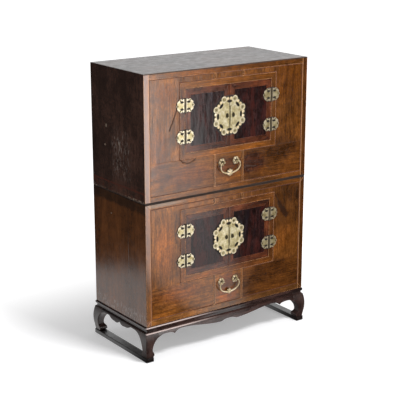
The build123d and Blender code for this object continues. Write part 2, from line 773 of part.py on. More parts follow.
    # Bail: from each eye outward, round a tight turn, down the side and along a wide bottom arc
    bail_start = handle_spacing / 2 + eye_radius + bail_shoulder_gap
    side_reach = bail_half_width - bail_side_radius
    bottom_reach = bail_height - bail_turn_radius - bail_side_radius
    bottom_extra = (side_reach**2 + bottom_reach**2) / (2 * bottom_reach)
    side_angle = degrees(asin((bottom_extra - bottom_reach) / bottom_extra))
    bail_plane = Plane((0, handle_axis_y, pivot_z), x_dir=(1, 0, 0), z_dir=(0, -1, 0))
    with BuildPart() as bail:
        with BuildLine(bail_plane) as bail_path:
            shoulder = Line((bail_start, 0), (bail_half_width - bail_turn_radius, 0))
            turn = JernArc(shoulder @ 1, (1, 0), bail_turn_radius, arc_size=-90)
            side_arc = JernArc(turn @ 1, (0, -1), bail_side_radius, arc_size=-side_angle)
            JernArc(
                side_arc @ 1,
                (-sin(radians(side_angle)), -cos(radians(side_angle))),
                bail_side_radius + bottom_extra,
                arc_size=side_angle - 90,
            )
        with BuildSketch(Plane(shoulder @ 0, z_dir=shoulder % 0)):
            Circle(bail_wire)
        sweep()
        with Locations(Location((handle_spacing / 2 + eye_radius / 2, handle_axis_y, pivot_z), (0, 90, 0))):
            Cylinder(bail_pin_radius, 2 * eye_radius + bail_shoulder_gap * 2)
        mirror(about=Plane.YZ)
        with BuildSketch(bail_plane):
            with Locations((0, bud_rise - bail_height)):
                Circle(bud_radius)
            with Locations((0, -drop_fall - bail_height)):
                Circle(drop_radius)
            with Locations((-bail_height, -bail_height)):
                Rectangle(2 * bail_height, 2 * bail_height, mode=Mode.SUBTRACT)
        revolve(axis=Axis((0, handle_axis_y, pivot_z), (0, 0, 1)))
    bail.part.label = f"{tier}_handle_bail"
    export_step(bail.part, f"parts/{tier}_handle_bail.step")
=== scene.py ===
"""Looks of the two tier chest: finishes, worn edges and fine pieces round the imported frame."""
import json
import math

import bmesh
import bpy
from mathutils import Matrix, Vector


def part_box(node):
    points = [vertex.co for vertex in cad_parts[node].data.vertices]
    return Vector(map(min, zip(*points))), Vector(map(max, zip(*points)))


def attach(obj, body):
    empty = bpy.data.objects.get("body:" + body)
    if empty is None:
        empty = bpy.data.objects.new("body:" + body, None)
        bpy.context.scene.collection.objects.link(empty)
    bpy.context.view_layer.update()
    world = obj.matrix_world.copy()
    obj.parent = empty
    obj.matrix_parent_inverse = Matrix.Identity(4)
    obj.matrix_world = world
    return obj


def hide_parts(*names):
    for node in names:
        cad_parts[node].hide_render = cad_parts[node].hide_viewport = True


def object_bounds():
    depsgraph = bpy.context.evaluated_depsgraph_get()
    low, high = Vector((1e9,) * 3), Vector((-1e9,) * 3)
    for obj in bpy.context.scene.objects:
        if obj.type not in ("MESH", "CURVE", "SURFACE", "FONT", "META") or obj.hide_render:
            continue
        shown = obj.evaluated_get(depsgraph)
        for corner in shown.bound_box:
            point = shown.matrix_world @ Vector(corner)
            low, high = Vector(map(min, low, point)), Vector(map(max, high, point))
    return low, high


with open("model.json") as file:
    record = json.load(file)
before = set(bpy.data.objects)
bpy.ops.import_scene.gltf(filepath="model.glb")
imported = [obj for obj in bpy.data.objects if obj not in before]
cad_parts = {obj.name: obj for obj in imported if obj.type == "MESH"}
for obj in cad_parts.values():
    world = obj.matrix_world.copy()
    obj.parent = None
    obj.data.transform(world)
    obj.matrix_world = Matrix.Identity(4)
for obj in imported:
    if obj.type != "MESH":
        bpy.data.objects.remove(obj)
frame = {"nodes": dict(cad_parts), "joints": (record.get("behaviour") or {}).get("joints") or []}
cad_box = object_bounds()
nodes = frame["nodes"]

TIERS = ("lower", "upper")
SIDES = ("left", "right")


# ---- places read from the frame

def middle(node):
    """Middle of a CAD node's box."""
    low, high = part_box(node)
    return (low + high) / 2


def joint_place(name):
    """Place of a joint in the row frame."""
    for joint in frame["joints"]:
        if joint["name"] == name:
            return Vector(joint["pos_m"])


PIN_HALF = 0.028  # half a hinge pin
TONGUE = 0.005  # length of the boards' tongues
PLATE_SHADE = 0.080  # radius of the painted shade under and round the lock plates
LEAF_SHADE, LEAF_SQUASH = 0.0285, 0.70  # the same round the hinges, and how much wider it is than high
centre = (cad_box[0] + cad_box[1]) / 2
front_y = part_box("upper_front_frame")[0].y
stile_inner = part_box("upper_field_boards")[1].x - TONGUE
seam_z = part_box("upper_left_side")[0].z
top_z = cad_box[1].z
stand_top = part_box("stand_frame")[1].z
door_z = {tier: middle(f"{tier}_left_door_frame").z for tier in TIERS}
surround = {tier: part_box(f"{tier}_door_surround") for tier in TIERS}
HINGE_X = joint_place("upper_right_door_hinge").x
HINGE_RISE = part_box("upper_hinge_pins")[1].z - door_z["upper"] - PIN_HALF


# ---- camera

CAMERA_AZIMUTH, CAMERA_ELEVATION = -35.63, 15.54  # degrees
CAMERA_DISTANCE, CAMERA_LENS, CAMERA_SENSOR = 4.64, 100.0, 36.0
CAMERA_REACH = 60.0
AIM_RIGHT, AIM_UP = -0.004, -0.013  # how far from the middle of the chest it points


def put(name, data):
    """New object in the scene."""
    made = bpy.data.objects.new(name, data)
    bpy.context.scene.collection.objects.link(made)
    return made


def aim(thing, target):
    """Turn an object so that its -Z axis points at the target."""
    thing.rotation_euler = (Vector(target) - thing.location).to_track_quat("-Z", "Y").to_euler()


def outward(azimuth, elevation):
    """Direction at an azimuth from -Y towards +X and an elevation, in degrees."""
    turn, rise = math.radians(azimuth), math.radians(elevation)
    return Vector((math.sin(turn) * math.cos(rise), -math.cos(turn) * math.cos(rise), math.sin(rise)))


def make_camera():
    data = bpy.data.cameras.new("camera")
    camera = put("camera", data)
    bpy.context.scene.camera = camera
    target = centre + outward(CAMERA_AZIMUTH + 90, 0) * AIM_RIGHT + Vector((0, 0, AIM_UP))
    camera.location = target + outward(CAMERA_AZIMUTH, CAMERA_ELEVATION) * CAMERA_DISTANCE
    aim(camera, target)
    data.lens = CAMERA_LENS
    data.sensor_width = CAMERA_SENSOR
    data.clip_end = CAMERA_REACH


# ---- node trees

def srgb(red, green, blue):
    """Linear colour of an sRGB one given from 0 to 255."""
    channels = []
    for value in (red, green, blue):
        value = value / 255
        channels.append(value / 12.92 if value <= 0.04045 else ((value + 0.055) / 1.055) ** 2.4)
    return (*channels, 1.0)


class Tree:
    """A node tree with one short call for each kind of node that the finishes use."""

    def __init__(self, tree):
        self.tree = tree
        self.tree.nodes.clear()

    def node(self, kind, **settings):
        made = self.tree.nodes.new(kind)
        for key, value in settings.items():
            setattr(made, key, value)
        return made

    def feed(self, socket, value):
        """Link an output to an input, or set its constant. None leaves it as it is."""
        if isinstance(value, bpy.types.NodeSocket):
            self.tree.links.new(value, socket)
        elif value is not None:
            socket.default_value = value

    def fill(self, node, *values, **named):
        """Feed a node's first inputs in their order and others by name, and give its first output."""
        for socket, value in zip(node.inputs, values):
            self.feed(socket, value)
        for name, value in named.items():
            self.feed(node.inputs[name.replace("_", " ")], value)
        return node.outputs[0]

    def math(self, operation, first, second=None):
        return self.fill(self.node("ShaderNodeMath", operation=operation), first, second)

    def chain(self, operation, first, *others):
        """The first number, combined with each of the others in turn."""
        for other in others:
            first = self.math(operation, first, other)
        return first

    def times(self, *factors):
        return self.chain("MULTIPLY", *factors)

    def over(self, first, second):
        return self.math("DIVIDE", first, second)

    def plus(self, *terms):
        return self.chain("ADD", *terms)

    def minus(self, first, second):
        return self.math("SUBTRACT", first, second)

    def most(self, *values):
        return self.chain("MAXIMUM", *values)

    def least(self, *values):
        return self.chain("MINIMUM", *values)

    def absolute(self, value):
        return self.math("ABSOLUTE", value)

    def gap(self, first, second):
        """Distance between two numbers."""
        return self.absolute(self.minus(first, second))

    def squares(self, first, second):
        """Sum of two squares."""
        return self.plus(self.math("POWER", first, 2.0), self.math("POWER", second, 2.0))

    def length(self, first, second):
        """Length of a flat vector."""
        return self.math("SQRT", self.squares(first, second))

    def vector(self, operation, first, second):
        made = self.node("ShaderNodeVectorMath", operation=operation)
        self.fill(made, first, second)
        return made.outputs["Value" if operation == "DOT_PRODUCT" else "Vector"]

    def scale(self, vector, factor):
        return self.fill(self.node("ShaderNodeVectorMath", operation="SCALE"), vector, Scale=factor)

    def mix(self, first, second, factor, blend="MIX"):
        """Colour from first to second as the factor goes from 0 to 1."""
        made = self.node("ShaderNodeMix", data_type="RGBA", blend_type=blend)
        for index, value in ((0, factor), (6, first), (7, second)):
            self.feed(made.inputs[index], value)
        return made.outputs[2]

    def blend(self, first, second, factor):
        """Number from first to second as the factor goes from 0 to 1."""
        return self.fill(self.node("ShaderNodeMix", data_type="FLOAT"), factor, None, first, second)

    def step(self, value, low, high):
        """Smooth step from 0 short of low to 1 past high, which may be the lesser one."""
        made = self.node("ShaderNodeMapRange", interpolation_type="SMOOTHSTEP")
        return self.fill(made, value, low, high, 0.0, 1.0)

    def where(self, *tests):
        """1 where each of the tests, a value and the limits of its step, comes out as 1."""
        return self.times(*(self.step(*test) for test in tests))

    def line(self, value, place, outer, inner):
        """1 where the value is within inner of a place, 0 where it is further off than outer."""
        return self.step(self.gap(value, place), outer, inner)

    def ramp(self, value, *stops):
        """Colours at places from 0 to 1."""
        made = self.node("ShaderNodeValToRGB")
        elements = made.color_ramp.elements
        for index, (place, colour) in enumerate(stops):
            element = elements[index] if index < 2 else elements.new(place)
            element.position = place
            element.color = colour
        return self.fill(made, value)

    def noise(self, vector, scale, detail, roughness=0.55, distortion=0.0):
        return self.fill(
            self.node("ShaderNodeTexNoise"), Vector=vector, Scale=scale, Detail=detail, Roughness=roughness,
            Distortion=distortion,
        )

    def parts(self, vector):
        made = self.node("ShaderNodeSeparateXYZ")
        self.fill(made, vector)
        return made.outputs

    def join(self, x, y, z):
        return self.fill(self.node("ShaderNodeCombineXYZ"), x, y, z)


class Finish(Tree):
    """A material: a Principled shader and the place on the piece, in metres in the row frame."""

    def __init__(self, name):
        self.material = bpy.data.materials.new(name)
        self.material.use_nodes = True
        super().__init__(self.material.node_tree)
        self.shader = self.node("ShaderNodeBsdfPrincipled")
        self.feed(self.node("ShaderNodeOutputMaterial").inputs[0], self.shader.outputs[0])
        self.place = self.node("ShaderNodeTexCoord").outputs["Object"]
        self.x, self.y, self.z = self.parts(self.place)

    def set(self, **values):
        self.fill(self.shader, **values)
        return self.material

    def bump(self, height, distance, strength=1.0, base=None):
        made = self.node("ShaderNodeBump")
        return self.fill(made, Strength=strength, Distance=distance, Height=height, Normal=base)

    def edges(self, radius):
        """1 along the edges of the piece, within the radius."""
        rounded = self.fill(self.node("ShaderNodeBevel", samples=4), Radius=radius)
        normal = self.node("ShaderNodeNewGeometry").outputs["Normal"]
        return self.step(self.minus(1.0, self.vector("DOT_PRODUCT", rounded, normal)), 0.03, 0.25)

    def hollows(self, distance, low=0.50):
        """1 in corners and beside what stands on the surface, 0 in the open."""
        made = self.node("ShaderNodeAmbientOcclusion", samples=6)
        self.fill(made, Distance=distance)
        return self.minus(1.0, self.step(made.outputs["AO"], low, 0.97))


# ---- wood

SEED_SHIFT = (1.37, 0.71, 2.13)  # how far a seed of 1 moves the grain
GRAIN_DRIFT = 0.022  # how far the grain wanders
FIGURE_STRETCH = 0.28  # scale of the growth figure along the grain, against across it
FIGURE_STOPS = (0.32, 0.5, 0.68)  # where the dark, middle and light tones stand in the growth figure
MERGE_DISTANCE = 0.00001
FLAT_ANGLE, SHARP_ANGLE = math.radians(0.6), math.radians(32.0)
# colour of the painted shade in the wood's corners and hollows
HOLLOW_SHADE = srgb(22, 15, 13)

# Noises along the grain: scale across it and along it, detail and roughness.
WARP_NOISE = (9.0, 4.0, 2.0)
STREAK_NOISE = (210.0, 7.0, 4.0, 0.6)
FLECK_NOISE = (300.0, 100.0, 4.0, 0.7)
PORE_NOISE = (950.0, 40.0, 2.0, 0.6)
RIPPLE_NOISE = (34.0, 9.0, 3.0, 0.5)
# Noises without a grain: scale, detail, roughness and distortion.
PATINA_NOISE = (30.0, 5.0, 0.66, 0.4)
CLOUD_NOISE = (6.5, 3.0, 0.5)
WEAR_NOISE = (45.0, 4.0, 0.7)


def grain_vector(finish, along, seed):
    """Place with the grain along its third part. A socket for along is 1 where the grain runs along x."""
    if along == "x":
        vector = finish.join(finish.z, finish.y, finish.x)
    elif along == "y":
        vector = finish.join(finish.x, finish.z, finish.y)
    elif along == "z":
        vector = finish.join(finish.x, finish.y, finish.z)
    else:
        across = finish.blend(finish.x, finish.z, along)
        lengthwise = finish.blend(finish.z, finish.x, along)
        vector = finish.join(across, finish.y, lengthwise)
    return finish.vector("ADD", vector, tuple(seed * shift for shift in SEED_SHIFT))


class Wood(Finish):
    """Old lacquered wood: broad growth figure, streaks, short flecks, pores, patina and a wavy surface."""

    def __init__(self, name, along, tones, seed, figure=13.0, streaks=0.30, flecks=0.30, clouds=0.26,
                 gloss=(0.12, 0.20), wave=0.0006):
        super().__init__(name)
        if callable(along):
            along = along(self)
        self.grain = grain_vector(self, along, seed)
        drift = self.times(self.minus(self.grained(*WARP_NOISE), 0.5), GRAIN_DRIFT)
        self.grain = self.vector("ADD", self.grain, self.join(drift, drift, 0.0))
        moved = self.vector("ADD", self.place, (seed, 0.0, seed * 0.4))
        growth = self.grained(figure, figure * FIGURE_STRETCH, 4.0, 0.6, 0.5)
        fine = self.grained(*STREAK_NOISE)
        fleck = self.grained(*FLECK_NOISE)
        pores = self.grained(*PORE_NOISE)
        self.patina = self.noise(moved, *PATINA_NOISE)
        cloud = self.noise(moved, *CLOUD_NOISE)
        colour = self.ramp(growth, *zip(FIGURE_STOPS, tones))
        pits = self.step(pores, 0.57, 0.72)
        shade = self.times(
            self.vary(fine, 0.36, 0.62, streaks), self.vary(fleck, 0.36, 0.64, flecks),
            self.vary(self.patina, 0.34, 0.66, flecks * 0.9), self.vary(cloud, 0.34, 0.66, clouds),
            self.blend(1.0, 0.6, pits),
        )
        self.colour = self.scale(colour, shade)
        self.rough = self.blend(*gloss, self.step(self.patina, 0.3, 0.7))
        relief = self.minus(self.times(fleck, 0.45), self.times(pits, 0.25))
        waved = self.bump(self.grained(*RIPPLE_NOISE), wave)
        self.normal = self.bump(relief, 0.0003, 0.6, waved)

    def grained(self, across, lengthwise, detail, roughness=0.55, distortion=0.0):
        """Noise with one scale across the grain and another along it."""
        vector = self.vector("MULTIPLY", self.grain, (across, across, lengthwise))
        return self.noise(vector, 1.0, detail, roughness, distortion)

    def vary(self, noise, low, high, depth):
        """Factor about 1 that swings down by the depth and up by 0.6 of it."""
        return self.blend(1.0 - depth, 1.0 + depth * 0.6, self.step(noise, low, high))

    def tint(self, factor, colour):
        """Multiply the colour where the factor is 1."""
        self.colour = self.mix(self.colour, (*colour, 1.0), factor, "MULTIPLY")

    def layer(self, colour, factor, strength, rough=None):
        """Lay another colour, and its roughness, over the wood to a strength where the factor is 1."""
        factor = self.times(factor, strength)
        self.colour = self.mix(self.colour, colour, factor)
        if rough is not None:
            self.rough = self.blend(self.rough, rough, factor)

    def shade_hollows(self, distance, strength):
        """Painted shade: dark colour in the corners and beside what stands on the surface."""
        self.layer(HOLLOW_SHADE, self.hollows(distance), strength)

    def wear(self, colour, radius, strength):
        """Rubbed edges, broken up along their length."""
        patches = self.step(self.noise(self.place, *WEAR_NOISE), 0.28, 0.50)
        self.layer(colour, self.times(self.edges(radius), patches), strength, 0.5)

    def done(self, gloss_level=0.5):
        return self.set(
            Base_Color=self.colour, Roughness=self.rough, Normal=self.normal, Specular_IOR_Level=gloss_level,
        )


def soften(piece, width):
    """Round a CAD node's edges: join its split corners, clear flat faces, bevel, then even the shading."""
    weld = piece.modifiers.new("weld", "WELD")
    weld.merge_threshold = MERGE_DISTANCE
    flat = piece.modifiers.new("flat", "DECIMATE")
    flat.decimate_type = "DISSOLVE"
    flat.angle_limit = FLAT_ANGLE
    bevel = piece.modifiers.new("bevel", "BEVEL")
    bevel.width = width
    bevel.segments = 2
    bevel.limit_method = "ANGLE"
    bevel.angle_limit = SHARP_ANGLE
    bevel.use_clamp_overlap = True
    shading = piece.modifiers.new("shading", "WEIGHTED_NORMAL")
    shading.keep_sharp = False
    shading.weight = 60


def dress(material, edge, *names):
    """Give CAD nodes their finish and, unless the width of their edges is None, rounded edges."""
    for name in names:
        for slot in nodes[name].material_slots:
            slot.material = material
        if edge is not None:
            soften(nodes[name], edge)


# ---- finishes of the wooden pieces

def toned(hue, *levels):
    """A wood's dark, middle and light tones: its linear hue at these levels."""
    return tuple((*(level * channel for channel in hue), 1.0) for level in levels)


OCHRE = toned((0.119, 0.039, 0.0056), 1.05, 1.65, 2.3)
RED_BROWN = toned((0.100, 0.026, 0.009), 0.35, 0.75, 1.5)
NEAR_BLACK = toned((0.020, 0.0068, 0.0062), 0.45, 0.85, 1.4)
SIDE_BROWN = {
    "upper": toned((0.068, 0.032, 0.022), 0.7, 1.0, 1.4),
    "lower": toned((0.135, 0.045, 0.0115), 0.7, 1.0, 1.35),
}
STAND_BROWN = (srgb(34, 21, 19), srgb(56, 38, 34), srgb(76, 54, 48))
RUNNER_BROWN = (srgb(20, 13, 12), srgb(34, 24, 22), srgb(48, 35, 32))
BOARD_BROWN = (srgb(26, 17, 15), srgb(46, 33, 28), srgb(66, 48, 41))
BACK_BROWN = (srgb(60, 42, 28), srgb(98, 72, 50), srgb(128, 98, 70))
# dark colour for painted shade under the metal and along the seam, and for grime in the sides' board joint
GRIME_AND_SHADE = srgb(18, 11, 9)
LINE_BROWN = srgb(78, 32, 20)  # dirt along the edges of the front's boards
CRACK_BROWN = srgb(44, 24, 12)
PALE_STILE = srgb(184, 154, 142)
WORN_WOOD = srgb(218, 160, 108)  # rubbed edges of the front
WORN_RAIL = srgb(150, 136, 120)
WORN_DOOR = srgb(150, 84, 52)
WORN_SIDE = srgb(120, 96, 78)
WORN_STAND = srgb(120, 86, 72)
WORN_BOARD = srgb(140, 110, 90)
# colour of the painted highlight along the stand's front lip and bead
LIP_HIGHLIGHT = srgb(204, 184, 178)

FRONT_SKIN = (front_y + 0.006, front_y + 0.003)  # what is painted on the front ends between these depths
SHADE_BORDER = (0.0035, -0.0015)  # soft border of the painted shade round the metal
BOARD_SOFT = 0.0004  # soft border of a board


def frame_grain(finish):
    """1 on the rails of the front frame, 0 on its stiles."""
    return finish.step(finish.absolute(finish.x), stile_inner + 0.0005, stile_inner - 0.0005)


def mitre_grain(low, high):
    """Grain of a mitred frame with these corners: 1 on its rails, 0 on its stiles."""
    centre_x = (low.x + high.x) / 2
    centre_z = (low.z + high.z) / 2
    half_difference = (high.x - low.x) / 2 - (high.z - low.z) / 2

    def choose(finish):
        across = finish.gap(finish.x, centre_x)
        up = finish.gap(finish.z, centre_z)
        return finish.step(finish.minus(finish.plus(up, half_difference), across), -0.0003, 0.0003)

    return choose


def patch(wood, x, z, half_x, half_z, ragged=0.5):
    """1 inside a patch about (x, z) on the front, with ragged soft borders."""
    across = wood.over(wood.minus(wood.x, x), half_x)
    up = wood.over(wood.minus(wood.z, z), half_z)
    reach = wood.plus(wood.length(across, up), wood.times(wood.minus(wood.patina, 0.5), 2 * ragged))
    return wood.step(reach, 1.15, 0.45)


def crack(wood, points, width):
    """1 along a thin wandering line through points (x, z) on the front."""
    drift = wood.times(wood.minus(wood.noise(wood.place, *CRACK_NOISE), 0.5), CRACK_DRIFT)
    x = wood.plus(wood.x, drift)
    z = wood.plus(wood.z, drift)
    distances = []
    for (x1, z1), (x2, z2) in zip(points, points[1:]):
        run_x, run_z = x2 - x1, z2 - z1
        squared = run_x ** 2 + run_z ** 2
        dx, dz = wood.minus(x, x1), wood.minus(z, z1)
        along = wood.plus(wood.times(dx, run_x / squared), wood.times(dz, run_z / squared))
        along = wood.least(wood.most(along, 0.0), 1.0)
        distances.append(wood.length(
            wood.minus(dx, wood.times(along, run_x)), wood.minus(dz, wood.times(along, run_z))
        ))
    return wood.step(wood.least(*distances), width, width * 0.25)


def painted_front_shade(wood):
    """Painted shade: the front's colour darkens towards its right side."""
    wood.tint(wood.step(wood.x, -0.30, 0.28), (0.58, 0.58, 0.58))


def window(wood, low_x, high_x, low_z, high_z):
    """1 inside a rectangle of the front."""
    return wood.where(
        (wood.x, low_x - BOARD_SOFT, low_x + BOARD_SOFT), (wood.x, high_x + BOARD_SOFT, high_x - BOARD_SOFT),
        (wood.z, low_z - BOARD_SOFT, low_z + BOARD_SOFT), (wood.z, high_z + BOARD_SOFT, high_z - BOARD_SOFT),
    )


FIELD_TINTS = {  # x, z, half sizes and tint of patches on the boards
    "upper": (
        (-0.19, 0.735, 0.15, 0.06, (0.62, 0.55, 0.75)), (0.12, 0.745, 0.08, 0.05, (0.50, 0.36, 0.45)),
        (0.31, 1.06, 0.09, 0.09, (1.25, 1.15, 0.9)), (0.27, 0.80, 0.10, 0.07, (0.70, 0.68, 0.66)),
        (0.02, 0.700, 0.08, 0.022, (1.45, 1.35, 1.0)), (0.0, 0.752, 0.07, 0.035, (0.55, 0.45, 0.5)),
        (-0.30, 1.06, 0.07, 0.06, (0.72, 0.66, 0.72)), (-0.335, 0.86, 0.05, 0.10, (1.12, 1.0, 0.95)),
        (-0.33, 0.755, 0.06, 0.06, (0.72, 0.66, 0.72)),
    ),
    "lower": (
        (0.20, 0.27, 0.15, 0.05, (0.62, 0.60, 0.55)), (-0.31, 0.45, 0.05, 0.13, (1.5, 1.35, 1.3)),
        (0.0, 0.205, 0.06, 0.035, (2.1, 1.6, 1.2)), (0.0, 0.265, 0.06, 0.035, (0.8, 0.62, 0.75)),
        (0.345, 0.585, 0.05, 0.045, (0.62, 0.60, 0.6)), (0.30, 0.40, 0.06, 0.06, (1.3, 1.22, 1.0)),
        (-0.24, 0.26, 0.13, 0.045, (0.82, 0.72, 0.8)),
    ),
}
SURROUND_TINTS = {  # the same on the mouldings round the doors
    "upper": (
        (-0.225, 0.955, 0.035, 0.16, (0.52, 0.42, 0.45)), (0.0, 1.095, 0.25, 0.02, (1.35, 1.3, 1.1)),
        (0.02, 0.812, 0.26, 0.018, (1.85, 1.7, 1.1)),
    ),
    "lower": (
        (-0.225, 0.455, 0.035, 0.16, (0.55, 0.45, 0.45)), (0.226, 0.45, 0.03, 0.15, (0.7, 0.62, 0.6)),
        (0.0, 0.592, 0.25, 0.02, (0.95, 0.85, 0.8)), (0.0, 0.310, 0.25, 0.02, (1.1, 0.95, 0.9)),
    ),
}
CRACKS = {  # points x, z and width of the lines
    "upper": (
        (((-0.236, 1.060), (-0.244, 1.020), (-0.266, 0.965), (-0.285, 0.925)), 0.0046),
        (((-0.236, 0.808), (-0.222, 0.792), (-0.190, 0.786), (-0.165, 0.797)), 0.0042),
        (((0.085, 0.735), (0.135, 0.730)), 0.0030),
    ),
    "lower": (
        (((0.246, 0.590), (0.262, 0.556)), 0.0040),
        (((0.264, 0.552), (0.290, 0.516)), 0.0150),
        (((0.284, 0.522), (0.304, 0.494)), 0.0200),
        (((-0.255, 0.590), (-0.262, 0.520), (-0.256, 0.470)), 0.0022),
    ),
}
CRACK_LOOK = {"upper": (0.75, 0.85), "lower": (0.88, None)}  # strength and roughness
CRACK_NOISE, CRACK_DRIFT = (55.0, 3.0, 0.6), 0.010
POST_MARGIN = 0.01  # how far past the front posts their boards are coloured


def tint_patches(wood, patches):
    """Tint patches of the front."""
    for x, z, half_x, half_z, colour in patches:
        wood.tint(patch(wood, x, z, half_x, half_z), colour)


def edge_line(wood, low, high, inward):
    """1 inside a rectangle of the front and on a thin line round it or, inward, outside it and just within."""
    beyond_x = wood.minus(wood.gap(wood.x, (low.x + high.x) / 2), (high.x - low.x) / 2)
    beyond_z = wood.minus(wood.gap(wood.z, (low.z + high.z) / 2), (high.z - low.z) / 2)
    beyond = wood.most(beyond_x, beyond_z)
    if inward:
        beyond = wood.times(beyond, -1.0)
    return wood.step(beyond, 0.0040, 0.0012)


def metal_shade(wood, tier):
    """Painted shade: dark wood under the lock plate and the hinge leaves, seen in their holes and round them.
    """
    up = wood.minus(wood.z, door_z[tier])
    beside = wood.minus(wood.absolute(wood.x), HINGE_X)
    above = wood.minus(wood.absolute(up), HINGE_RISE)
    away_plate = wood.minus(wood.length(wood.x, up), PLATE_SHADE)
    away_leaf = wood.minus(wood.length(wood.times(beside, LEAF_SQUASH), above), LEAF_SHADE)
    painted_shade = wood.where((wood.least(away_plate, away_leaf), *SHADE_BORDER), (wood.y, *FRONT_SKIN))
    wood.layer(GRIME_AND_SHADE, painted_shade, 0.88, 0.6)


def seam_shade(wood, reach, strength):
    """Painted shade: dark colour along the joint between the two chests."""
    wood.layer(GRIME_AND_SHADE, wood.line(wood.z, seam_z, reach, reach / 2), strength, 0.7)


def field_finish(tier, seed):
    """Front boards: upright at the sides, lying below the doors, with a brighter one behind each handle."""
    low, high = surround[tier]
    post_low, post_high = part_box(f"{tier}_front_posts")
    wood = Wood(f"{tier}_fields", lambda made: made.step(made.z, low.z, low.z - 0.002), OCHRE, seed,
                figure=12.0, streaks=0.34, flecks=0.32, clouds=0.24)
    painted_front_shade(wood)
    floor_z, ceiling_z = post_low.z - POST_MARGIN, post_high.z + POST_MARGIN
    handle_board = window(wood, post_low.x, post_high.x, floor_z, low.z)
    head_board = window(wood, post_low.x, post_high.x, high.z, ceiling_z)
    wood.tint(wood.most(handle_board, head_board), (1.12, 1.12, 1.0))
    wood.tint(window(wood, post_high.x, cad_box[1].x, floor_z, low.z), (0.85, 0.82, 0.75))
    tint_patches(wood, FIELD_TINTS[tier])
    for points, width in CRACKS[tier]:
        wood.layer(CRACK_BROWN, crack(wood, points, width), *CRACK_LOOK[tier])
    wood.shade_hollows(0.010, 0.8)
    outer_low, outer_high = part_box(f"{tier}_field_boards")
    inset = Vector((TONGUE, 0, TONGUE))
    round_doors = edge_line(wood, low, high, False)
    by_frame = edge_line(wood, outer_low + inset, outer_high - inset, True)
    wood.layer(LINE_BROWN, wood.most(round_doors, by_frame), 0.80, 0.85)
    metal_shade(wood, tier)
    return wood.done()


def moulding_finish(name, tier, along, seed, worn, tints=()):
    """Mouldings round the doors and posts above and below them, rubbed along their edges."""
    wood = Wood(name, along, OCHRE, seed)
    painted_front_shade(wood)
    tint_patches(wood, tints)
    wood.shade_hollows(0.007, 0.7)
    wood.wear(WORN_WOOD, 0.0030, worn)
    metal_shade(wood, tier)
    return wood.done()


LEFT_STILE = (-stile_inner + 0.001, -stile_inner - 0.003)
LEFT_OUTER = (-stile_inner - 0.010, -stile_inner - 0.013)
RIGHT_STILE = (stile_inner - 0.001, stile_inner + 0.003)
PALE_UPPER = 0.45  # strength of the pale left stile
PALE_LOWER, PALE_RISE = (0.06, 0.34), (0.24, 0.50)  # and on the lower tier, growing between these heights
RAIL_PATCH = (-0.33, seam_z - 0.011, 0.13, 0.010)  # worn part of the lower tier's top rail
FOOT_RAIL = (0.176, 0.168)  # heights between which the lower tier's bottom rail turns paler
HEAD_PATCH = (0.0, top_z - 0.012, 0.30, 0.03)


def frame_finish(tier, seed):
    """Frame of the front, with painted shade along the seam, darker along the top edge, pale and rubbed on its
    left stile.
    """
    wood = Wood(f"{tier}_frame", frame_grain, OCHRE, seed, figure=15.0)
    painted_front_shade(wood)
    left = wood.step(wood.x, *LEFT_STILE)
    pale = PALE_UPPER
    if tier == "lower":
        pale = wood.blend(*PALE_LOWER, wood.step(wood.z, *PALE_RISE))
        wood.layer(WORN_RAIL, patch(wood, *RAIL_PATCH, 0.3), 0.45)
    wood.layer(PALE_STILE, left, pale)
    wood.tint(wood.step(wood.x, *LEFT_OUTER), (0.86, 0.95, 1.05))
    wood.tint(wood.step(wood.x, *RIGHT_STILE), (0.62, 0.55, 0.42))
    if tier == "lower":
        wood.tint(wood.step(wood.z, *FOOT_RAIL), (1.3, 1.5, 2.4))
    wood.tint(patch(wood, *HEAD_PATCH), (1.05, 0.95, 0.7))
    wood.layer(WORN_WOOD, wood.line(wood.absolute(wood.x), stile_inner + 0.0015, 0.0024, 0.0008), 0.35)
    wood.wear(WORN_WOOD, 0.0030, 0.85)
    seam_shade(wood, 0.0070, 0.95)
    # darker along the top edge
    wood.layer(GRIME_AND_SHADE, wood.step(wood.z, top_z - 0.006, top_z - 0.0025), 0.85, 0.6)
    return wood.done()


def door_frame_finish(name, tier, grain, seed):
    """Reddish door frame."""
    wood = Wood(name, grain, RED_BROWN, seed, figure=22.0, streaks=0.34, flecks=0.3, gloss=(0.10, 0.15))
    wood.shade_hollows(0.008, 0.7)
    wood.wear(WORN_DOOR, 0.0022, 0.5)
    metal_shade(wood, tier)
    return wood.done()


PANEL_GLOSS = {  # specular level
    ("upper", "left"): 0.42, ("upper", "right"): 0.28, ("lower", "left"): 0.34, ("lower", "right"): 0.28,
}
PANEL_PATCH_NOISE = (24.0, 7.0, 4.0, 0.62)
PANEL_STREAK_NOISE = (95.0, 5.0, 3.0, 0.6)
PANEL_RED, PANEL_BLUE, PANEL_STREAK = srgb(66, 26, 20), srgb(42, 32, 44), srgb(78, 34, 24)


def door_panel_finish(name, tier, side, seed):
    """Near-black panel with broad reddish and blue-grey patches and a few thin streaks."""
    wood = Wood(name, "z", NEAR_BLACK, seed, figure=20.0, streaks=0.42, flecks=0.42, gloss=(0.08, 0.13))
    broad = wood.grained(*PANEL_PATCH_NOISE)
    thin = wood.grained(*PANEL_STREAK_NOISE)
    wood.layer(PANEL_RED, wood.step(broad, 0.48, 0.62), 0.45)
    wood.layer(PANEL_BLUE, wood.step(broad, 0.44, 0.32), 0.3)
    wood.layer(PANEL_STREAK, wood.step(thin, 0.60, 0.70), 0.28)
    wood.shade_hollows(0.008, 0.8)
    metal_shade(wood, tier)
    return wood.done(PANEL_GLOSS[tier, side])


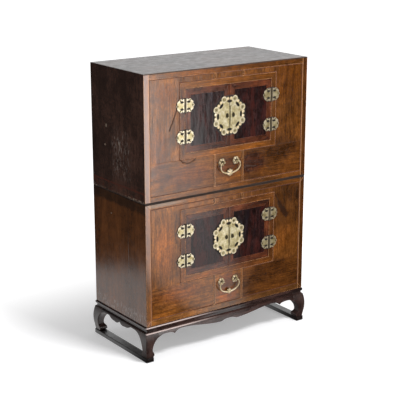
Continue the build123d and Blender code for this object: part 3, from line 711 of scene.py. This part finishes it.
BOARD_JOINT_Y = -0.065
SIDE_REAR = (0.13, 0.19)  # the sides darken between these depths,
UPPER_HEAD = (0.95, 1.15)  # the upper ones between these heights,
LOWER_HEAD = (0.598, 0.618)  # and the lower ones between these
EVENNESS = {"upper": 1.0, "lower": 0.68}
RIDGE_NOISE = (95.0, 16.0, 3.0, 0.6)
STROKE_NOISE = (260.0, 42.0, 3.0, 0.65)
CHIP_NOISE = (95.0, 3.0, 0.6)
LOW_LINE_Z = 0.690  # reddish scratch low on the upper sides
LOW_RED, LINE_RED = srgb(84, 38, 22), srgb(96, 42, 30)
STROKE, LIFTED, SCAR, CHIP = srgb(160, 148, 140), srgb(104, 84, 74), srgb(146, 130, 114), srgb(150, 128, 110)
SCARS = {  # y, z and half sizes of the pale scars
    "upper": ((0.085, 0.915, 0.006, 0.008), (0.096, 0.836, 0.007, 0.004), (-0.01, 0.855, 0.004, 0.006)),
    "lower": ((0.06, 0.560, 0.005, 0.003),),
}


def side_finish(tier, seed):
    """Sides: near black above, brown below, with a joint of boards, lifted flecks and small pale scars."""
    evenness = EVENNESS[tier]
    wood = Wood(f"{tier}_sides", "z", SIDE_BROWN[tier], seed, figure=9.0, streaks=0.18, flecks=0.30 * evenness,
                clouds=0.26 * evenness, gloss=(0.12, 0.18), wave=0.0007)
    edge = wood.step(wood.y, *SIDE_REAR)
    if tier == "upper":
        edge = wood.most(edge, wood.step(wood.z, *UPPER_HEAD))
    else:
        wood.tint(wood.step(wood.z, *LOWER_HEAD), (0.40, 0.46, 0.62))
    wood.tint(wood.times(edge, 0.85), (0.60, 0.58, 0.60))
    joint = wood.line(wood.y, BOARD_JOINT_Y, 0.0014, 0.0004)
    wood.layer(GRIME_AND_SHADE, joint, 0.55)
    ridge = wood.grained(*RIDGE_NOISE)
    if tier == "upper":
        flecked = wood.where(
            (wood.z, 0.70, 0.75), (wood.z, 0.94, 0.86), (wood.y, 0.06, 0.02), (wood.y, -0.11, -0.06),
        )
        wood.layer(LOW_RED, wood.where((wood.patina, 0.48, 0.62), (wood.z, 0.72, 0.68)), 0.5)
        wood.layer(LINE_RED, wood.line(wood.z, LOW_LINE_Z, 0.0050, 0.0015), 0.45)
    else:
        flecked = wood.step(wood.z, 0.215, 0.18)
    flecked = wood.times(flecked, wood.blend(0.25, 1.0, wood.step(wood.x, 0.1, -0.1)))
    strokes = wood.step(wood.grained(*STROKE_NOISE), 0.56, 0.64)
    wood.layer(STROKE, wood.times(strokes, flecked), 0.72)
    wood.layer(LIFTED, wood.times(wood.step(ridge, 0.56, 0.68), flecked), 0.35)
    for y, z, half_y, half_z in SCARS[tier]:
        across = wood.over(wood.minus(wood.y, y), half_y)
        up = wood.over(wood.minus(wood.z, z), half_z)
        away = wood.plus(wood.squares(across, up), wood.minus(wood.patina, 0.5))
        wood.layer(SCAR, wood.step(away, 1.1, 0.5), 0.85)
    raised = wood.minus(wood.times(ridge, flecked), wood.times(joint, 0.3))
    wood.normal = wood.bump(raised, 0.0011, 1.0, wood.normal)
    wood.wear(WORN_SIDE, 0.0020, 0.45)
    seam_shade(wood, 0.0034, 0.8)
    by_seam = wood.line(wood.z, seam_z + 0.005, 0.006, 0.003)
    corners = wood.most(wood.step(wood.y, -0.045, -0.065), wood.step(wood.y, 0.150, 0.170))
    chips = wood.step(wood.noise(wood.place, *CHIP_NOISE), 0.48, 0.56)
    wood.layer(CHIP, wood.times(by_seam, chips, wood.blend(0.25, 1.0, corners)), 0.8, 0.5)
    return wood.done()


SHINE_HEIGHTS = (stand_top - 0.0040, stand_top - 0.0275)  # where the painted highlight runs: the lip's nose and the bead under it


def stand_finish(name, along, seed, gloss=(0.26, 0.38), tones=STAND_BROWN):
    """Dark stand, with a painted highlight: a pale line along the left half of its front lip and of the bead.
    """
    wood = Wood(name, along, tones, seed, figure=18.0, streaks=0.25, flecks=0.2, gloss=gloss)
    wood.wear(WORN_STAND, 0.0018, 0.45)
    wood.shade_hollows(0.006, 0.6)
    highlight_span = wood.where((wood.x, -0.02, -0.24), (wood.y, front_y + 0.004, front_y + 0.001))
    for height in SHINE_HEIGHTS:
        wood.layer(LIP_HIGHLIGHT, wood.times(wood.line(wood.z, height, 0.0030, 0.0014), highlight_span), 0.8)
    return wood.done()


def board_finish(tier, seed):
    """Top and bottom boards: a worn polish that mirrors the room at a low angle."""
    wood = Wood(f"{tier}_boards", "x", BOARD_BROWN, seed, figure=11.0, flecks=0.2, gloss=(0.30, 0.42),
                wave=0.0014)
    wood.wear(WORN_BOARD, 0.0025, 0.4)
    return wood.done()


def back_finish(tier, seed):
    """Raw back panel."""
    wood = Wood(f"{tier}_back", "z", BACK_BROWN, seed, gloss=(0.6, 0.8))
    wood.shade_hollows(0.012, 0.6)
    return wood.done()


# ---- brass

LOBES = 8  # of a lock plate, with a slot between each two
LOBE_RING, SLOT_RING = 0.070, 0.0565  # radii on which the lobes and the slots stand
SLOT_HALF = (0.0058, 0.0118)  # half a slot with its painted shade, across and along
HOLE_SHADE = (1.12, 0.92)  # painted shade round a hole fades out between these shares of its half sizes
LOBE_HOLLOW = (0.0052, 0.0032)  # a lobe's dark middle fades out between these radii
LOBE_LINE, LOBE_HIGHLIGHT = (0.0066, 0.0006), (0.0106, 0.0030)  # radius and width of its cut ring and of its ring of painted highlight
PLATE_LINE = (0.0445, 0.0006)  # radius and width of the cut ring inside the slots
# places of the staples and the painted shade round them, then the painted shade in the gap between the doors
STAPLE_XS, STAPLE_SHADE = (-0.011, 0.019), (0.0088, 0.0058)
DOORS_GAP = (0.0012, 0.0006)
LEAF_HOLE = (0.0155, 0.014)  # a hinge leaf's holes from the pin and from the leaf's middle height
LEAF_HOLE_HALF = (0.0078, 0.0046)
LEAF_TIP, LEAF_DISC = 0.0357, 0.022  # its outer nail and its round middle, from the pin
# the leaves' nail, painted shade along the pins, and painted highlight on the leaves' outer parts
TIP_SOIL, PIN_SHADE, LEAF_HIGHLIGHT = (0.0046, 0.0030), (0.0032, 0.0020), (0.0130, 0.0165)

BRASS_TONES = (srgb(152, 136, 92), srgb(198, 184, 142), srgb(232, 222, 192))
NAIL_TONES = (srgb(92, 80, 44), srgb(138, 124, 78), srgb(186, 172, 124))
CAST_TONES = (srgb(178, 156, 112), srgb(226, 204, 164), srgb(252, 236, 208))
BLOTCH_NOISE, SPECK_NOISE, DENT_NOISE = (60.0, 4.0, 0.6), (420.0, 3.0, 0.6), (90.0, 3.0, 0.5)
SCRATCH_SCALES = (2200.0, 2200.0, 160.0)
BRASS_STOPS = (0.3, 0.5, 0.7)  # where the tones stand in the blotches
# colour of the painted highlight on the plates' lobes and the hinge leaves
RIM_HIGHLIGHT = srgb(246, 232, 208)
# tarnish specks, and a dark colour for painted shade in hollows, holes and gaps and for tarnish in engraved
# lines
TARNISH, BRASS_SHADE_AND_TARNISH = srgb(96, 76, 42), srgb(34, 25, 14)
RIGHT_BRASS_SHADE = (0.60, 0.57, 0.52)  # painted shade: how much darker the brass is painted towards the right side
RIGHT_SHADE_FROM = (0.08, 0.22)  # x over which the painted shade darkens it
PLATE_LEVEL = {"upper": 0.86, "lower": 1.0}
BRASS_SHINE = (0.34, 0.50)  # roughness in the dark and the light blotches


def ring(metal, distance, radius, width):
    """1 on a ring of a radius and a line width."""
    return metal.line(distance, radius, width, width * 0.4)


def spoke(metal, up, radius, shift, ring_radius):
    """Places along and across the nearest of a plate's spokes, counted from a ring about its middle."""
    turn = metal.over(metal.math("ARCTAN2", up, metal.x), 2 * math.pi / LOBES)
    turn = metal.minus(metal.math("FRACT", metal.plus(turn, LOBES + shift)), 0.5)
    turn = metal.times(turn, 2 * math.pi / LOBES)
    along = metal.minus(metal.times(radius, metal.math("COSINE", turn)), ring_radius)
    return along, metal.times(radius, metal.math("SINE", turn))


def engraving_and_shade(metal, centre_z):
    """1 on a lock plate's engraved lines and on painted shade at its slots, its staples and the gap between the
    doors; 1 on a ring round each lobe, for a painted highlight.
    """
    up = metal.minus(metal.z, centre_z)
    radius = metal.length(metal.x, up)
    lobe = metal.length(*spoke(metal, up, radius, 0.0, LOBE_RING))
    along, across = spoke(metal, up, radius, 0.5, SLOT_RING)
    slot = metal.length(metal.over(along, SLOT_HALF[0]), metal.over(across, SLOT_HALF[1]))
    lines = [
        metal.times(metal.step(lobe, *LOBE_HOLLOW), 0.55), ring(metal, lobe, *LOBE_LINE),
        metal.step(slot, *HOLE_SHADE), metal.times(ring(metal, radius, *PLATE_LINE), 0.5),
        metal.step(metal.absolute(metal.x), *DOORS_GAP),
    ]
    for x in STAPLE_XS:
        spot = metal.length(metal.minus(metal.x, x), metal.times(up, 0.75))
        lines.append(metal.step(spot, *STAPLE_SHADE))
    return metal.most(*lines), metal.times(ring(metal, lobe, *LOBE_HIGHLIGHT), 0.75)


def leaf_marks(metal, centre_z):
    """1 on painted shade round the hinge leaves' holes and along their pins, and on their nails; 1 on their
    outer parts, for a painted highlight.
    """
    above = metal.absolute(metal.minus(metal.gap(metal.z, centre_z), HINGE_RISE))
    beside = metal.absolute(metal.minus(metal.absolute(metal.x), HINGE_X))
    hole = metal.length(
        metal.over(metal.minus(beside, LEAF_HOLE[0]), LEAF_HOLE_HALF[0]),
        metal.over(metal.minus(above, LEAF_HOLE[1]), LEAF_HOLE_HALF[1]),
    )
    nail = metal.length(metal.minus(beside, LEAF_TIP), above)
    marks = metal.most(
        metal.step(hole, *HOLE_SHADE), metal.step(nail, *TIP_SOIL),
        metal.times(metal.step(beside, *PIN_SHADE), 0.9),
    )
    return marks, metal.step(metal.length(metal.minus(beside, LEAF_DISC), above), *LEAF_HIGHLIGHT)


def brass_finish(name, seed, cuts_and_shade=None, metallic=0.85, tones=BRASS_TONES, level=1.0):
    """Old yellow-white brass: cast unevenness, fine scratches, brown tarnish in the engraved lines, painted
    shade in the corners, holes and gaps, and painted highlights.
    """
    metal = Finish(name)
    place = metal.vector("ADD", metal.place, (seed, seed * 0.5, 0.0))
    blotch = metal.noise(place, *BLOTCH_NOISE)
    speck = metal.noise(place, *SPECK_NOISE)
    scratch = metal.noise(metal.vector("MULTIPLY", place, SCRATCH_SCALES), 1.0, 2.0, 0.6)
    height = metal.noise(place, *DENT_NOISE)
    colour = metal.ramp(blotch, *zip(BRASS_STOPS, tones))
    colour = metal.mix(colour, TARNISH, metal.times(metal.step(speck, 0.56, 0.72), 0.5))
    # painted shade in the corners and hollows; with the marks below, also in holes and gaps, and tarnish in
    # engraved lines
    shade_and_tarnish = metal.times(metal.hollows(0.005, 0.45), 0.9)
    if cuts_and_shade is not None:
        cut_and_shade, rim_highlights = cuts_and_shade(metal)
        # painted highlight
        colour = metal.mix(colour, RIM_HIGHLIGHT, metal.times(rim_highlights, 0.6))
        shade_and_tarnish = metal.most(shade_and_tarnish, metal.times(cut_and_shade, 0.88))
        height = metal.minus(height, cut_and_shade)
    colour = metal.mix(colour, BRASS_SHADE_AND_TARNISH, shade_and_tarnish)
    colour = metal.mix(colour, (*RIGHT_BRASS_SHADE, 1.0), metal.step(metal.x, *RIGHT_SHADE_FROM), "MULTIPLY")
    colour = metal.mix(colour, (level, level, level, 1.0), 1.0, "MULTIPLY")
    rough = metal.blend(*BRASS_SHINE, metal.step(blotch, 0.35, 0.65))
    scratched = metal.bump(scratch, 0.00008, 0.6, metal.bump(height, 0.0006))
    return metal.set(Base_Color=colour, Roughness=rough, Normal=scratched, Metallic=metallic)


# ---- cast pieces

MM = 0.001
ROD_SIDES = 18
ROD_END = (0.15, 0.6, 1.1)  # angles of the loops that round its ends
BAIL_HALF = ((29.0, 0.0, 3.0), (31.0, 0.0, 2.5), (35.0, 0.0, 1.9), (40.0, -0.4, 2.1), (44.2, -3.2, 2.3),
             (47.0, -9.0, 2.4), (48.0, -17.0, 2.5), (46.4, -25.0, 2.55), (41.8, -32.6, 2.6), (33.6, -39.2, 2.7),
             (23.0, -43.9, 2.9), (11.5, -46.8, 3.2), (0.0, -47.8, 3.5))  # x, z and wire radius in mm
BAIL_SET_BACK = 5.0  # the middle of the bail leans this far towards the boards, in mm
ORNAMENT = {"upper": 1.12, "lower": 0.88}  # size
ORNAMENT_LOBES = (90.0, 38.0, 142.0, -90.0, -42.0, -138.0)  # degrees
ORNAMENT_SPREAD = 24.0  # half width of a lobe in degrees
ORNAMENT_CORE, ORNAMENT_LOBE = 6.6, 6.6  # radius of its waist and its lobes' reach in mm
ORNAMENT_DEPTH, ORNAMENT_RISE = 3.4, 3.5  # and its height above the bail's lowest point
PETALS, PETAL_DEPTH = 6, 0.22
ROSETTE_RIM, ROSETTE_CUP, ROSETTE_HOLLOW = 1.4, 4.0, 4.6  # heights in mm
BEAD_RING, BEAD_OFFSET = 0.0675, 0.0080  # places of the beads beside the lock plates' slots
BEAD_RADIUS, BEAD_RISE = 0.0060, 0.0010
PLATE_THICKNESS = 0.0020


def new_piece(name, made, body, material):
    """Object from a bmesh, riding on a body and dressed."""
    bmesh.ops.remove_doubles(made, verts=made.verts, dist=MERGE_DISTANCE)
    bmesh.ops.recalc_face_normals(made, faces=made.faces)
    mesh = bpy.data.meshes.new(name)
    made.to_mesh(mesh)
    made.free()
    for face in mesh.polygons:
        face.use_smooth = True
    mesh.materials.append(material)
    piece = put(name, mesh)
    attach(piece, body)
    return piece


def curve_through(points, steps=6):
    """Catmull-Rom curve through points of any length, ends included."""
    padded = [points[0], *points, points[-1]]
    out = []
    for before, start, end, after in zip(padded, padded[1:], padded[2:], padded[3:]):
        for step in range(steps):
            t = step / steps
            out.append(tuple(
                0.5 * (2 * b + (c - a) * t + (2 * a - 5 * b + 4 * c - d) * t ** 2
                       + (3 * b - a - 3 * c + d) * t ** 3)
                for a, b, c, d in zip(before, start, end, after)
            ))
    out.append(tuple(points[-1]))
    return out


def join_loops(made, loops):
    """Faces between each loop of vertices and the next."""
    for first, second in zip(loops, loops[1:]):
        for k in range(len(first)):
            follow = (k + 1) % len(first)
            made.faces.new((first[k], first[follow], second[follow], second[k]))


def add_rod(made, places, radii):
    """Round rod along places that lie near a plane of constant y, with round ends."""
    loops = []
    last = len(places) - 1
    for index, (place, radius) in enumerate(zip(places, radii)):
        along = (places[min(index + 1, last)] - places[max(index - 1, 0)]).normalized()
        side = along.cross(Vector((0, 1, 0))).normalized()
        up = side.cross(along)
        shifts = [(0.0, 1.0)]
        if index == 0:
            shifts = [(-math.cos(turn), math.sin(turn)) for turn in ROD_END] + shifts
        if index == last:
            shifts = shifts + [(math.cos(turn), math.sin(turn)) for turn in reversed(ROD_END)]
        for shift, share in shifts:
            middle_place = place + along * radius * shift
            loops.append([
                made.verts.new(middle_place + (side * math.cos(turn) + up * math.sin(turn)) * radius * share)
                for turn in (2 * math.pi * k / ROD_SIDES for k in range(ROD_SIDES))
            ])
    join_loops(made, loops)
    made.faces.new(loops[0])
    made.faces.new(loops[-1])


def add_boss(made, place, outline, front, back, rings=14, sides=96):
    """Boss in the plane of x and z: outline by angle, heights in front and behind by share of it and angle."""
    angles = [2 * math.pi * k / sides for k in range(sides)]
    faces = []
    for height, direction in ((front, -1), (back, 1)):
        hub = made.verts.new(place + Vector((0, direction * height(0.0, 0.0), 0)))
        loops = [
            [made.verts.new(place + Vector((
                math.cos(turn) * outline(turn) * share,
                direction * height(share, turn),
                math.sin(turn) * outline(turn) * share,
            ))) for turn in angles]
            for share in (count / rings for count in range(1, rings + 1))
        ]
        faces.append((hub, loops))
    for hub, loops in faces:
        for k in range(sides):
            made.faces.new((hub, loops[0][k], loops[0][(k + 1) % sides]))
        join_loops(made, loops)
    join_loops(made, [loops[-1] for _, loops in faces])


def make_bail(tier, material):
    """Bail of swelling wire with ball ends inside its eyes, and a lobed ornament at its middle."""
    pivot = joint_place(f"{tier}_handle_swing")
    half = curve_through(BAIL_HALF)
    lowest = BAIL_HALF[-1][1]
    places, radii = [], []
    for x, z, radius in half + [(-x, z, radius) for x, z, radius in reversed(half[:-1])]:
        places.append(pivot + Vector((x, BAIL_SET_BACK * (z / lowest) ** 2, z)) * MM)
        radii.append(radius * MM)
    made = bmesh.new()
    add_rod(made, places, radii)
    size = ORNAMENT[tier] * MM

    def outline(turn):
        reach = 0.0
        for lobe in ORNAMENT_LOBES:
            off = turn - math.radians(lobe)
            off = math.degrees(math.atan2(math.sin(off), math.cos(off)))
            reach = max(reach, math.exp(-(off / ORNAMENT_SPREAD) ** 4))
        return (ORNAMENT_CORE + ORNAMENT_LOBE * reach) * size

    def height(share, turn):
        valley = 1 - (outline(turn) / size - ORNAMENT_CORE) / ORNAMENT_LOBE
        return ORNAMENT_DEPTH * size * math.sqrt(max(1 - share ** 2.4, 0.0)) * (1 - 0.5 * valley * share)

    place = pivot + Vector((0, BAIL_SET_BACK, lowest + ORNAMENT_RISE * ORNAMENT[tier])) * MM
    add_boss(made, place, outline, height, height)
    piece = new_piece(f"{tier}_cast_bail", made, f"{tier}_handle", material)
    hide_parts(f"{tier}_handle_bail")


def flush(share, turn):
    """Height of a boss's side that lies against the wood."""
    return 0.0


def make_rosettes(tier, material):
    """Two cast flowers under the eyes: cupped petals round a hollow middle."""
    low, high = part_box(f"{tier}_handle_rosettes")
    radius = (high.z - low.z) / 2

    def petal(turn):
        return abs(math.cos(PETALS * turn / 2))

    def outline(turn):
        return radius * (1 - PETAL_DEPTH + PETAL_DEPTH * petal(turn) ** 0.6)

    def front(share, turn):
        cup = math.sin(math.pi * min(share, 1.0)) ** 0.7
        hollow = min(max((0.42 - share) / 0.14, 0.0), 1.0)
        groove = (1 - petal(turn)) ** 1.6 * min(share * 2.0, 1.0)
        return (ROSETTE_RIM + ROSETTE_CUP * cup * (1 - 0.9 * groove) - ROSETTE_HOLLOW * hollow * cup) * MM

    made = bmesh.new()
    for x in (low.x + radius, high.x - radius):
        add_boss(made, Vector((x, high.y, (low.z + high.z) / 2)), outline, front, flush)
    piece = new_piece(f"{tier}_cast_rosettes", made, f"{tier}_chest", material)
    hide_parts(f"{tier}_handle_rosettes")


def make_beads(tier, side, material):
    """Small beads on the rim of a lock plate, two beside each of its slots."""
    def outline(turn):
        return BEAD_RADIUS

    def dome(share, turn):
        return PLATE_THICKNESS + BEAD_RISE * math.sqrt(max(1 - share ** 2, 0.0))

    made = bmesh.new()
    for index in range(LOBES):
        turn = 2 * math.pi * index / LOBES
        for offset in (-BEAD_OFFSET, BEAD_OFFSET):
            x = BEAD_RING * math.cos(turn) - offset * math.sin(turn)
            z = BEAD_RING * math.sin(turn) + offset * math.cos(turn)
            if (x < 0) == (side == "left"):
                add_boss(made, Vector((x, front_y, door_z[tier] + z)), outline, dome, flush, rings=6, sides=28)
    new_piece(f"{tier}_{side}_plate_beads", made, f"{tier}_{side}_door", material)


# ---- dressing the CAD nodes

LEG_EDGE, RAIL_EDGE, APRON_EDGE, CASE_EDGE = 0.0012, 0.0018, 0.0010, 0.0016  # widths of rounded edges
PLATE_EDGE, LEAF_EDGE = 0.0004, 0.0003
FIRST_SEED, SEED_STEP = 4.0, 3.0  # of the tiers' finishes


def dress_stand():
    rails = stand_finish("stand_rails", "x", 1.0, (0.11, 0.18))
    dress(rails, RAIL_EDGE, "stand_frame")
    dress(rails, APRON_EDGE, "front_apron", "rear_apron")
    dress(stand_finish("stand_runners", "y", 2.5, (0.30, 0.42), RUNNER_BROWN), RAIL_EDGE, "runners")
    dress(stand_finish("stand_side_rails", "y", 2.0), APRON_EDGE, "left_apron", "right_apron")
    legs = (f"{corner}_leg" for corner in ("front_left", "front_right", "rear_left", "rear_right"))
    dress(stand_finish("stand_legs", "z", 3.0), LEG_EDGE, *legs)


def dress_tier(tier, seed):
    dress(side_finish(tier, seed + 0.1), CASE_EDGE, f"{tier}_left_side", f"{tier}_right_side")
    dress(board_finish(tier, seed + 0.2), CASE_EDGE, f"{tier}_top_board", f"{tier}_bottom_board")
    dress(back_finish(tier, seed + 0.3), None, f"{tier}_back_panel")
    dress(field_finish(tier, seed + 0.4), None, f"{tier}_field_boards")
    dress(frame_finish(tier, seed + 0.5), CASE_EDGE, f"{tier}_front_frame")
    mouldings = moulding_finish(
        f"{tier}_surround", tier, mitre_grain(*surround[tier]), seed + 0.6, 0.9, SURROUND_TINTS[tier],
    )
    dress(mouldings, None, f"{tier}_door_surround")
    dress(moulding_finish(f"{tier}_posts", tier, "z", seed + 0.7, 1.0), None, f"{tier}_front_posts")
    height = door_z[tier]
    brass = brass_finish(f"{tier}_brass", seed)
    plates = brass_finish(
        f"{tier}_plate_brass", seed + 0.5, lambda metal: engraving_and_shade(metal, height), level=PLATE_LEVEL[tier],
    )
    leaves = brass_finish(f"{tier}_leaf_brass", seed + 0.6, lambda metal: leaf_marks(metal, height))
    nails = brass_finish(f"{tier}_nail_brass", seed + 0.3, tones=NAIL_TONES)
    cast = brass_finish(f"{tier}_cast_brass", seed + 0.7, metallic=0.45, tones=CAST_TONES)
    for side in SIDES:
        part = f"{tier}_{side}"
        low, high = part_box(f"{tier}_{side}_door_frame")
        door_frame = door_frame_finish(f"{part}_door_frame", tier, mitre_grain(low, high), seed + 0.8)
        dress(door_frame, None, f"{part}_door_frame")
        dress(door_panel_finish(f"{part}_door_panel", tier, side, seed + 0.9), None, f"{part}_door_panel")
        dress(plates, PLATE_EDGE, f"{part}_lock_plate")
        dress(nails, None, f"{part}_door_nails")
        dress(leaves, LEAF_EDGE, f"{part}_door_hinge_leaves")
        make_beads(tier, side, cast)
    dress(leaves, LEAF_EDGE, f"{tier}_frame_hinge_leaves")
    dress(leaves, None, f"{tier}_hinge_pins")
    dress(nails, None, f"{tier}_frame_hinge_nails")
    dress(brass, None, *(f"{tier}_handle_{part}" for part in ("rosettes", "posts", "bail")))
    make_bail(tier, cast)
    make_rosettes(tier, cast)


# ---- stage and light

STRIP_LEFT, STRIP_RIGHT = (4.0, 14.0), (35.0, 30.5)  # bearings where a white strip fades in at its ends
STRIP_GLOW, STRIP_RADII = (1.8, 3.0), (1.2, 3.2)  # its mirrored strength on the floor, growing outwards
SIDE_FLOOR, SIDE_BEARINGS = (1.42, 1.12), (60.0, 100.0)  # where the floor that the sides mirror fades in
SIDE_GLOW = 1.15
ROOM_GLOW = 0.04  # of the dark room that gloss sees elsewhere
FLOOR_EDGE = 30.0
FLOOR_COLOUR = (0.80, 0.80, 0.81, 1.0)
FLOOR_GLOW, FLOOR_FADE = (0.31, 0.80), (0.02, 0.80)  # to the camera by the chest and off it, and how far off
SCREEN_GLOW, SCREEN_HEIGHTS = 1.6, (0.45, 0.10)  # the strip above the floor
BEHIND_GLOW, BEHIND_BEARINGS, BEHIND_HEIGHTS = 1.5, (90.0, 115.0), (0.02, 0.10)
WORLD_LIGHT = 0.42
WHITE = (1.0, 1.0, 1.0, 1.0)


def bearing(tree, x, y):
    """Bearing in degrees from -Y towards +X."""
    return tree.math("DEGREES", tree.math("ARCTAN2", x, tree.times(y, -1.0)))


def strip(tree, angle):
    """1 in the part of the room in front of the chest where its white strip stands."""
    return tree.where((angle, *STRIP_LEFT), (angle, *STRIP_RIGHT))


def make_floor():
    """Pale floor: white to the camera away from the chest, and in reflections bright beside and before it."""
    mesh = bpy.data.meshes.new("floor")
    corners = [(x * FLOOR_EDGE, y * FLOOR_EDGE, 0) for x, y in ((-1, -1), (1, -1), (1, 1), (-1, 1))]
    mesh.from_pydata(corners, [], [(0, 1, 2, 3)])
    floor = put("floor", mesh)
    material = bpy.data.materials.new("floor")
    material.use_nodes = True
    mesh.materials.append(material)
    tree = Tree(material.node_tree)
    x, y, _ = tree.parts(tree.node("ShaderNodeTexCoord").outputs["Object"])
    away = tree.length(*(
        tree.most(tree.minus(tree.absolute(place), half), 0.0)
        for place, half in ((x, cad_box[1].x), (y, cad_box[1].y))
    ))
    radius = tree.length(x, y)
    angle = bearing(tree, x, y)
    near = tree.where((radius, *SIDE_FLOOR), (tree.absolute(angle), *SIDE_BEARINGS))
    front = tree.times(strip(tree, angle), tree.blend(*STRIP_GLOW, tree.step(radius, *STRIP_RADII)))
    mirrored = tree.most(front, tree.times(near, SIDE_GLOW), ROOM_GLOW)
    path = tree.node("ShaderNodeLightPath").outputs
    shown = tree.times(tree.blend(*FLOOR_GLOW, tree.step(away, *FLOOR_FADE)), path["Is Camera Ray"])
    both = tree.fill(
        tree.node("ShaderNodeAddShader"),
        tree.fill(tree.node("ShaderNodeBsdfDiffuse"), Color=FLOOR_COLOUR),
        tree.fill(tree.node("ShaderNodeEmission"), Strength=shown),
    )
    reflected = tree.fill(tree.node("ShaderNodeEmission"), Strength=mirrored)
    surface = tree.fill(tree.node("ShaderNodeMixShader"), path["Is Glossy Ray"], both, reflected)
    tree.feed(tree.node("ShaderNodeOutputMaterial").inputs[0], surface)


def make_world():
    """White to the camera, an even soft light to everything, and for gloss a dark room with white screens."""
    world = bpy.data.worlds.new("studio")
    bpy.context.scene.world = world
    world.use_nodes = True
    tree = Tree(world.node_tree)
    x, y, z = tree.parts(tree.node("ShaderNodeTexCoord").outputs["Generated"])
    angle = bearing(tree, x, y)
    behind = tree.where((angle, *BEHIND_BEARINGS), (z, *BEHIND_HEIGHTS))
    front = tree.times(strip(tree, angle), tree.step(z, *SCREEN_HEIGHTS), SCREEN_GLOW)
    gloss = tree.most(front, tree.times(behind, BEHIND_GLOW), ROOM_GLOW)
    path = tree.node("ShaderNodeLightPath").outputs
    level = tree.blend(WORLD_LIGHT, gloss, path["Is Glossy Ray"])
    level = tree.blend(level, 1.0, path["Is Camera Ray"])
    background = tree.fill(tree.node("ShaderNodeBackground"), Color=WHITE, Strength=level)
    tree.feed(tree.node("ShaderNodeOutputWorld").inputs[0], background)


def make_light(name, azimuth, elevation, distance, size, radiance):
    """Area light turned to the chest, of a size in metres and a radiance, unseen by the camera."""
    data = bpy.data.lights.new(name, "AREA")
    data.shape = "RECTANGLE"
    data.size, data.size_y = size
    data.energy = radiance * math.pi * size[0] * size[1]
    light = put(name, data)
    light.location = centre + outward(azimuth, elevation) * distance
    aim(light, centre)
    light.visible_camera = False
    return light


bpy.context.scene.view_settings.view_transform = "Standard"
make_camera()
make_world()
make_floor()
key = make_light("key", azimuth=10, elevation=50, distance=3.4, size=(0.8, 0.8), radiance=50.0)
key.visible_glossy = False
make_light("softbox", azimuth=13, elevation=6, distance=2.2, size=(0.85, 1.5), radiance=2.4)
dress_stand()
for index, tier in enumerate(TIERS):
    dress_tier(tier, FIRST_SEED + SEED_STEP * index)
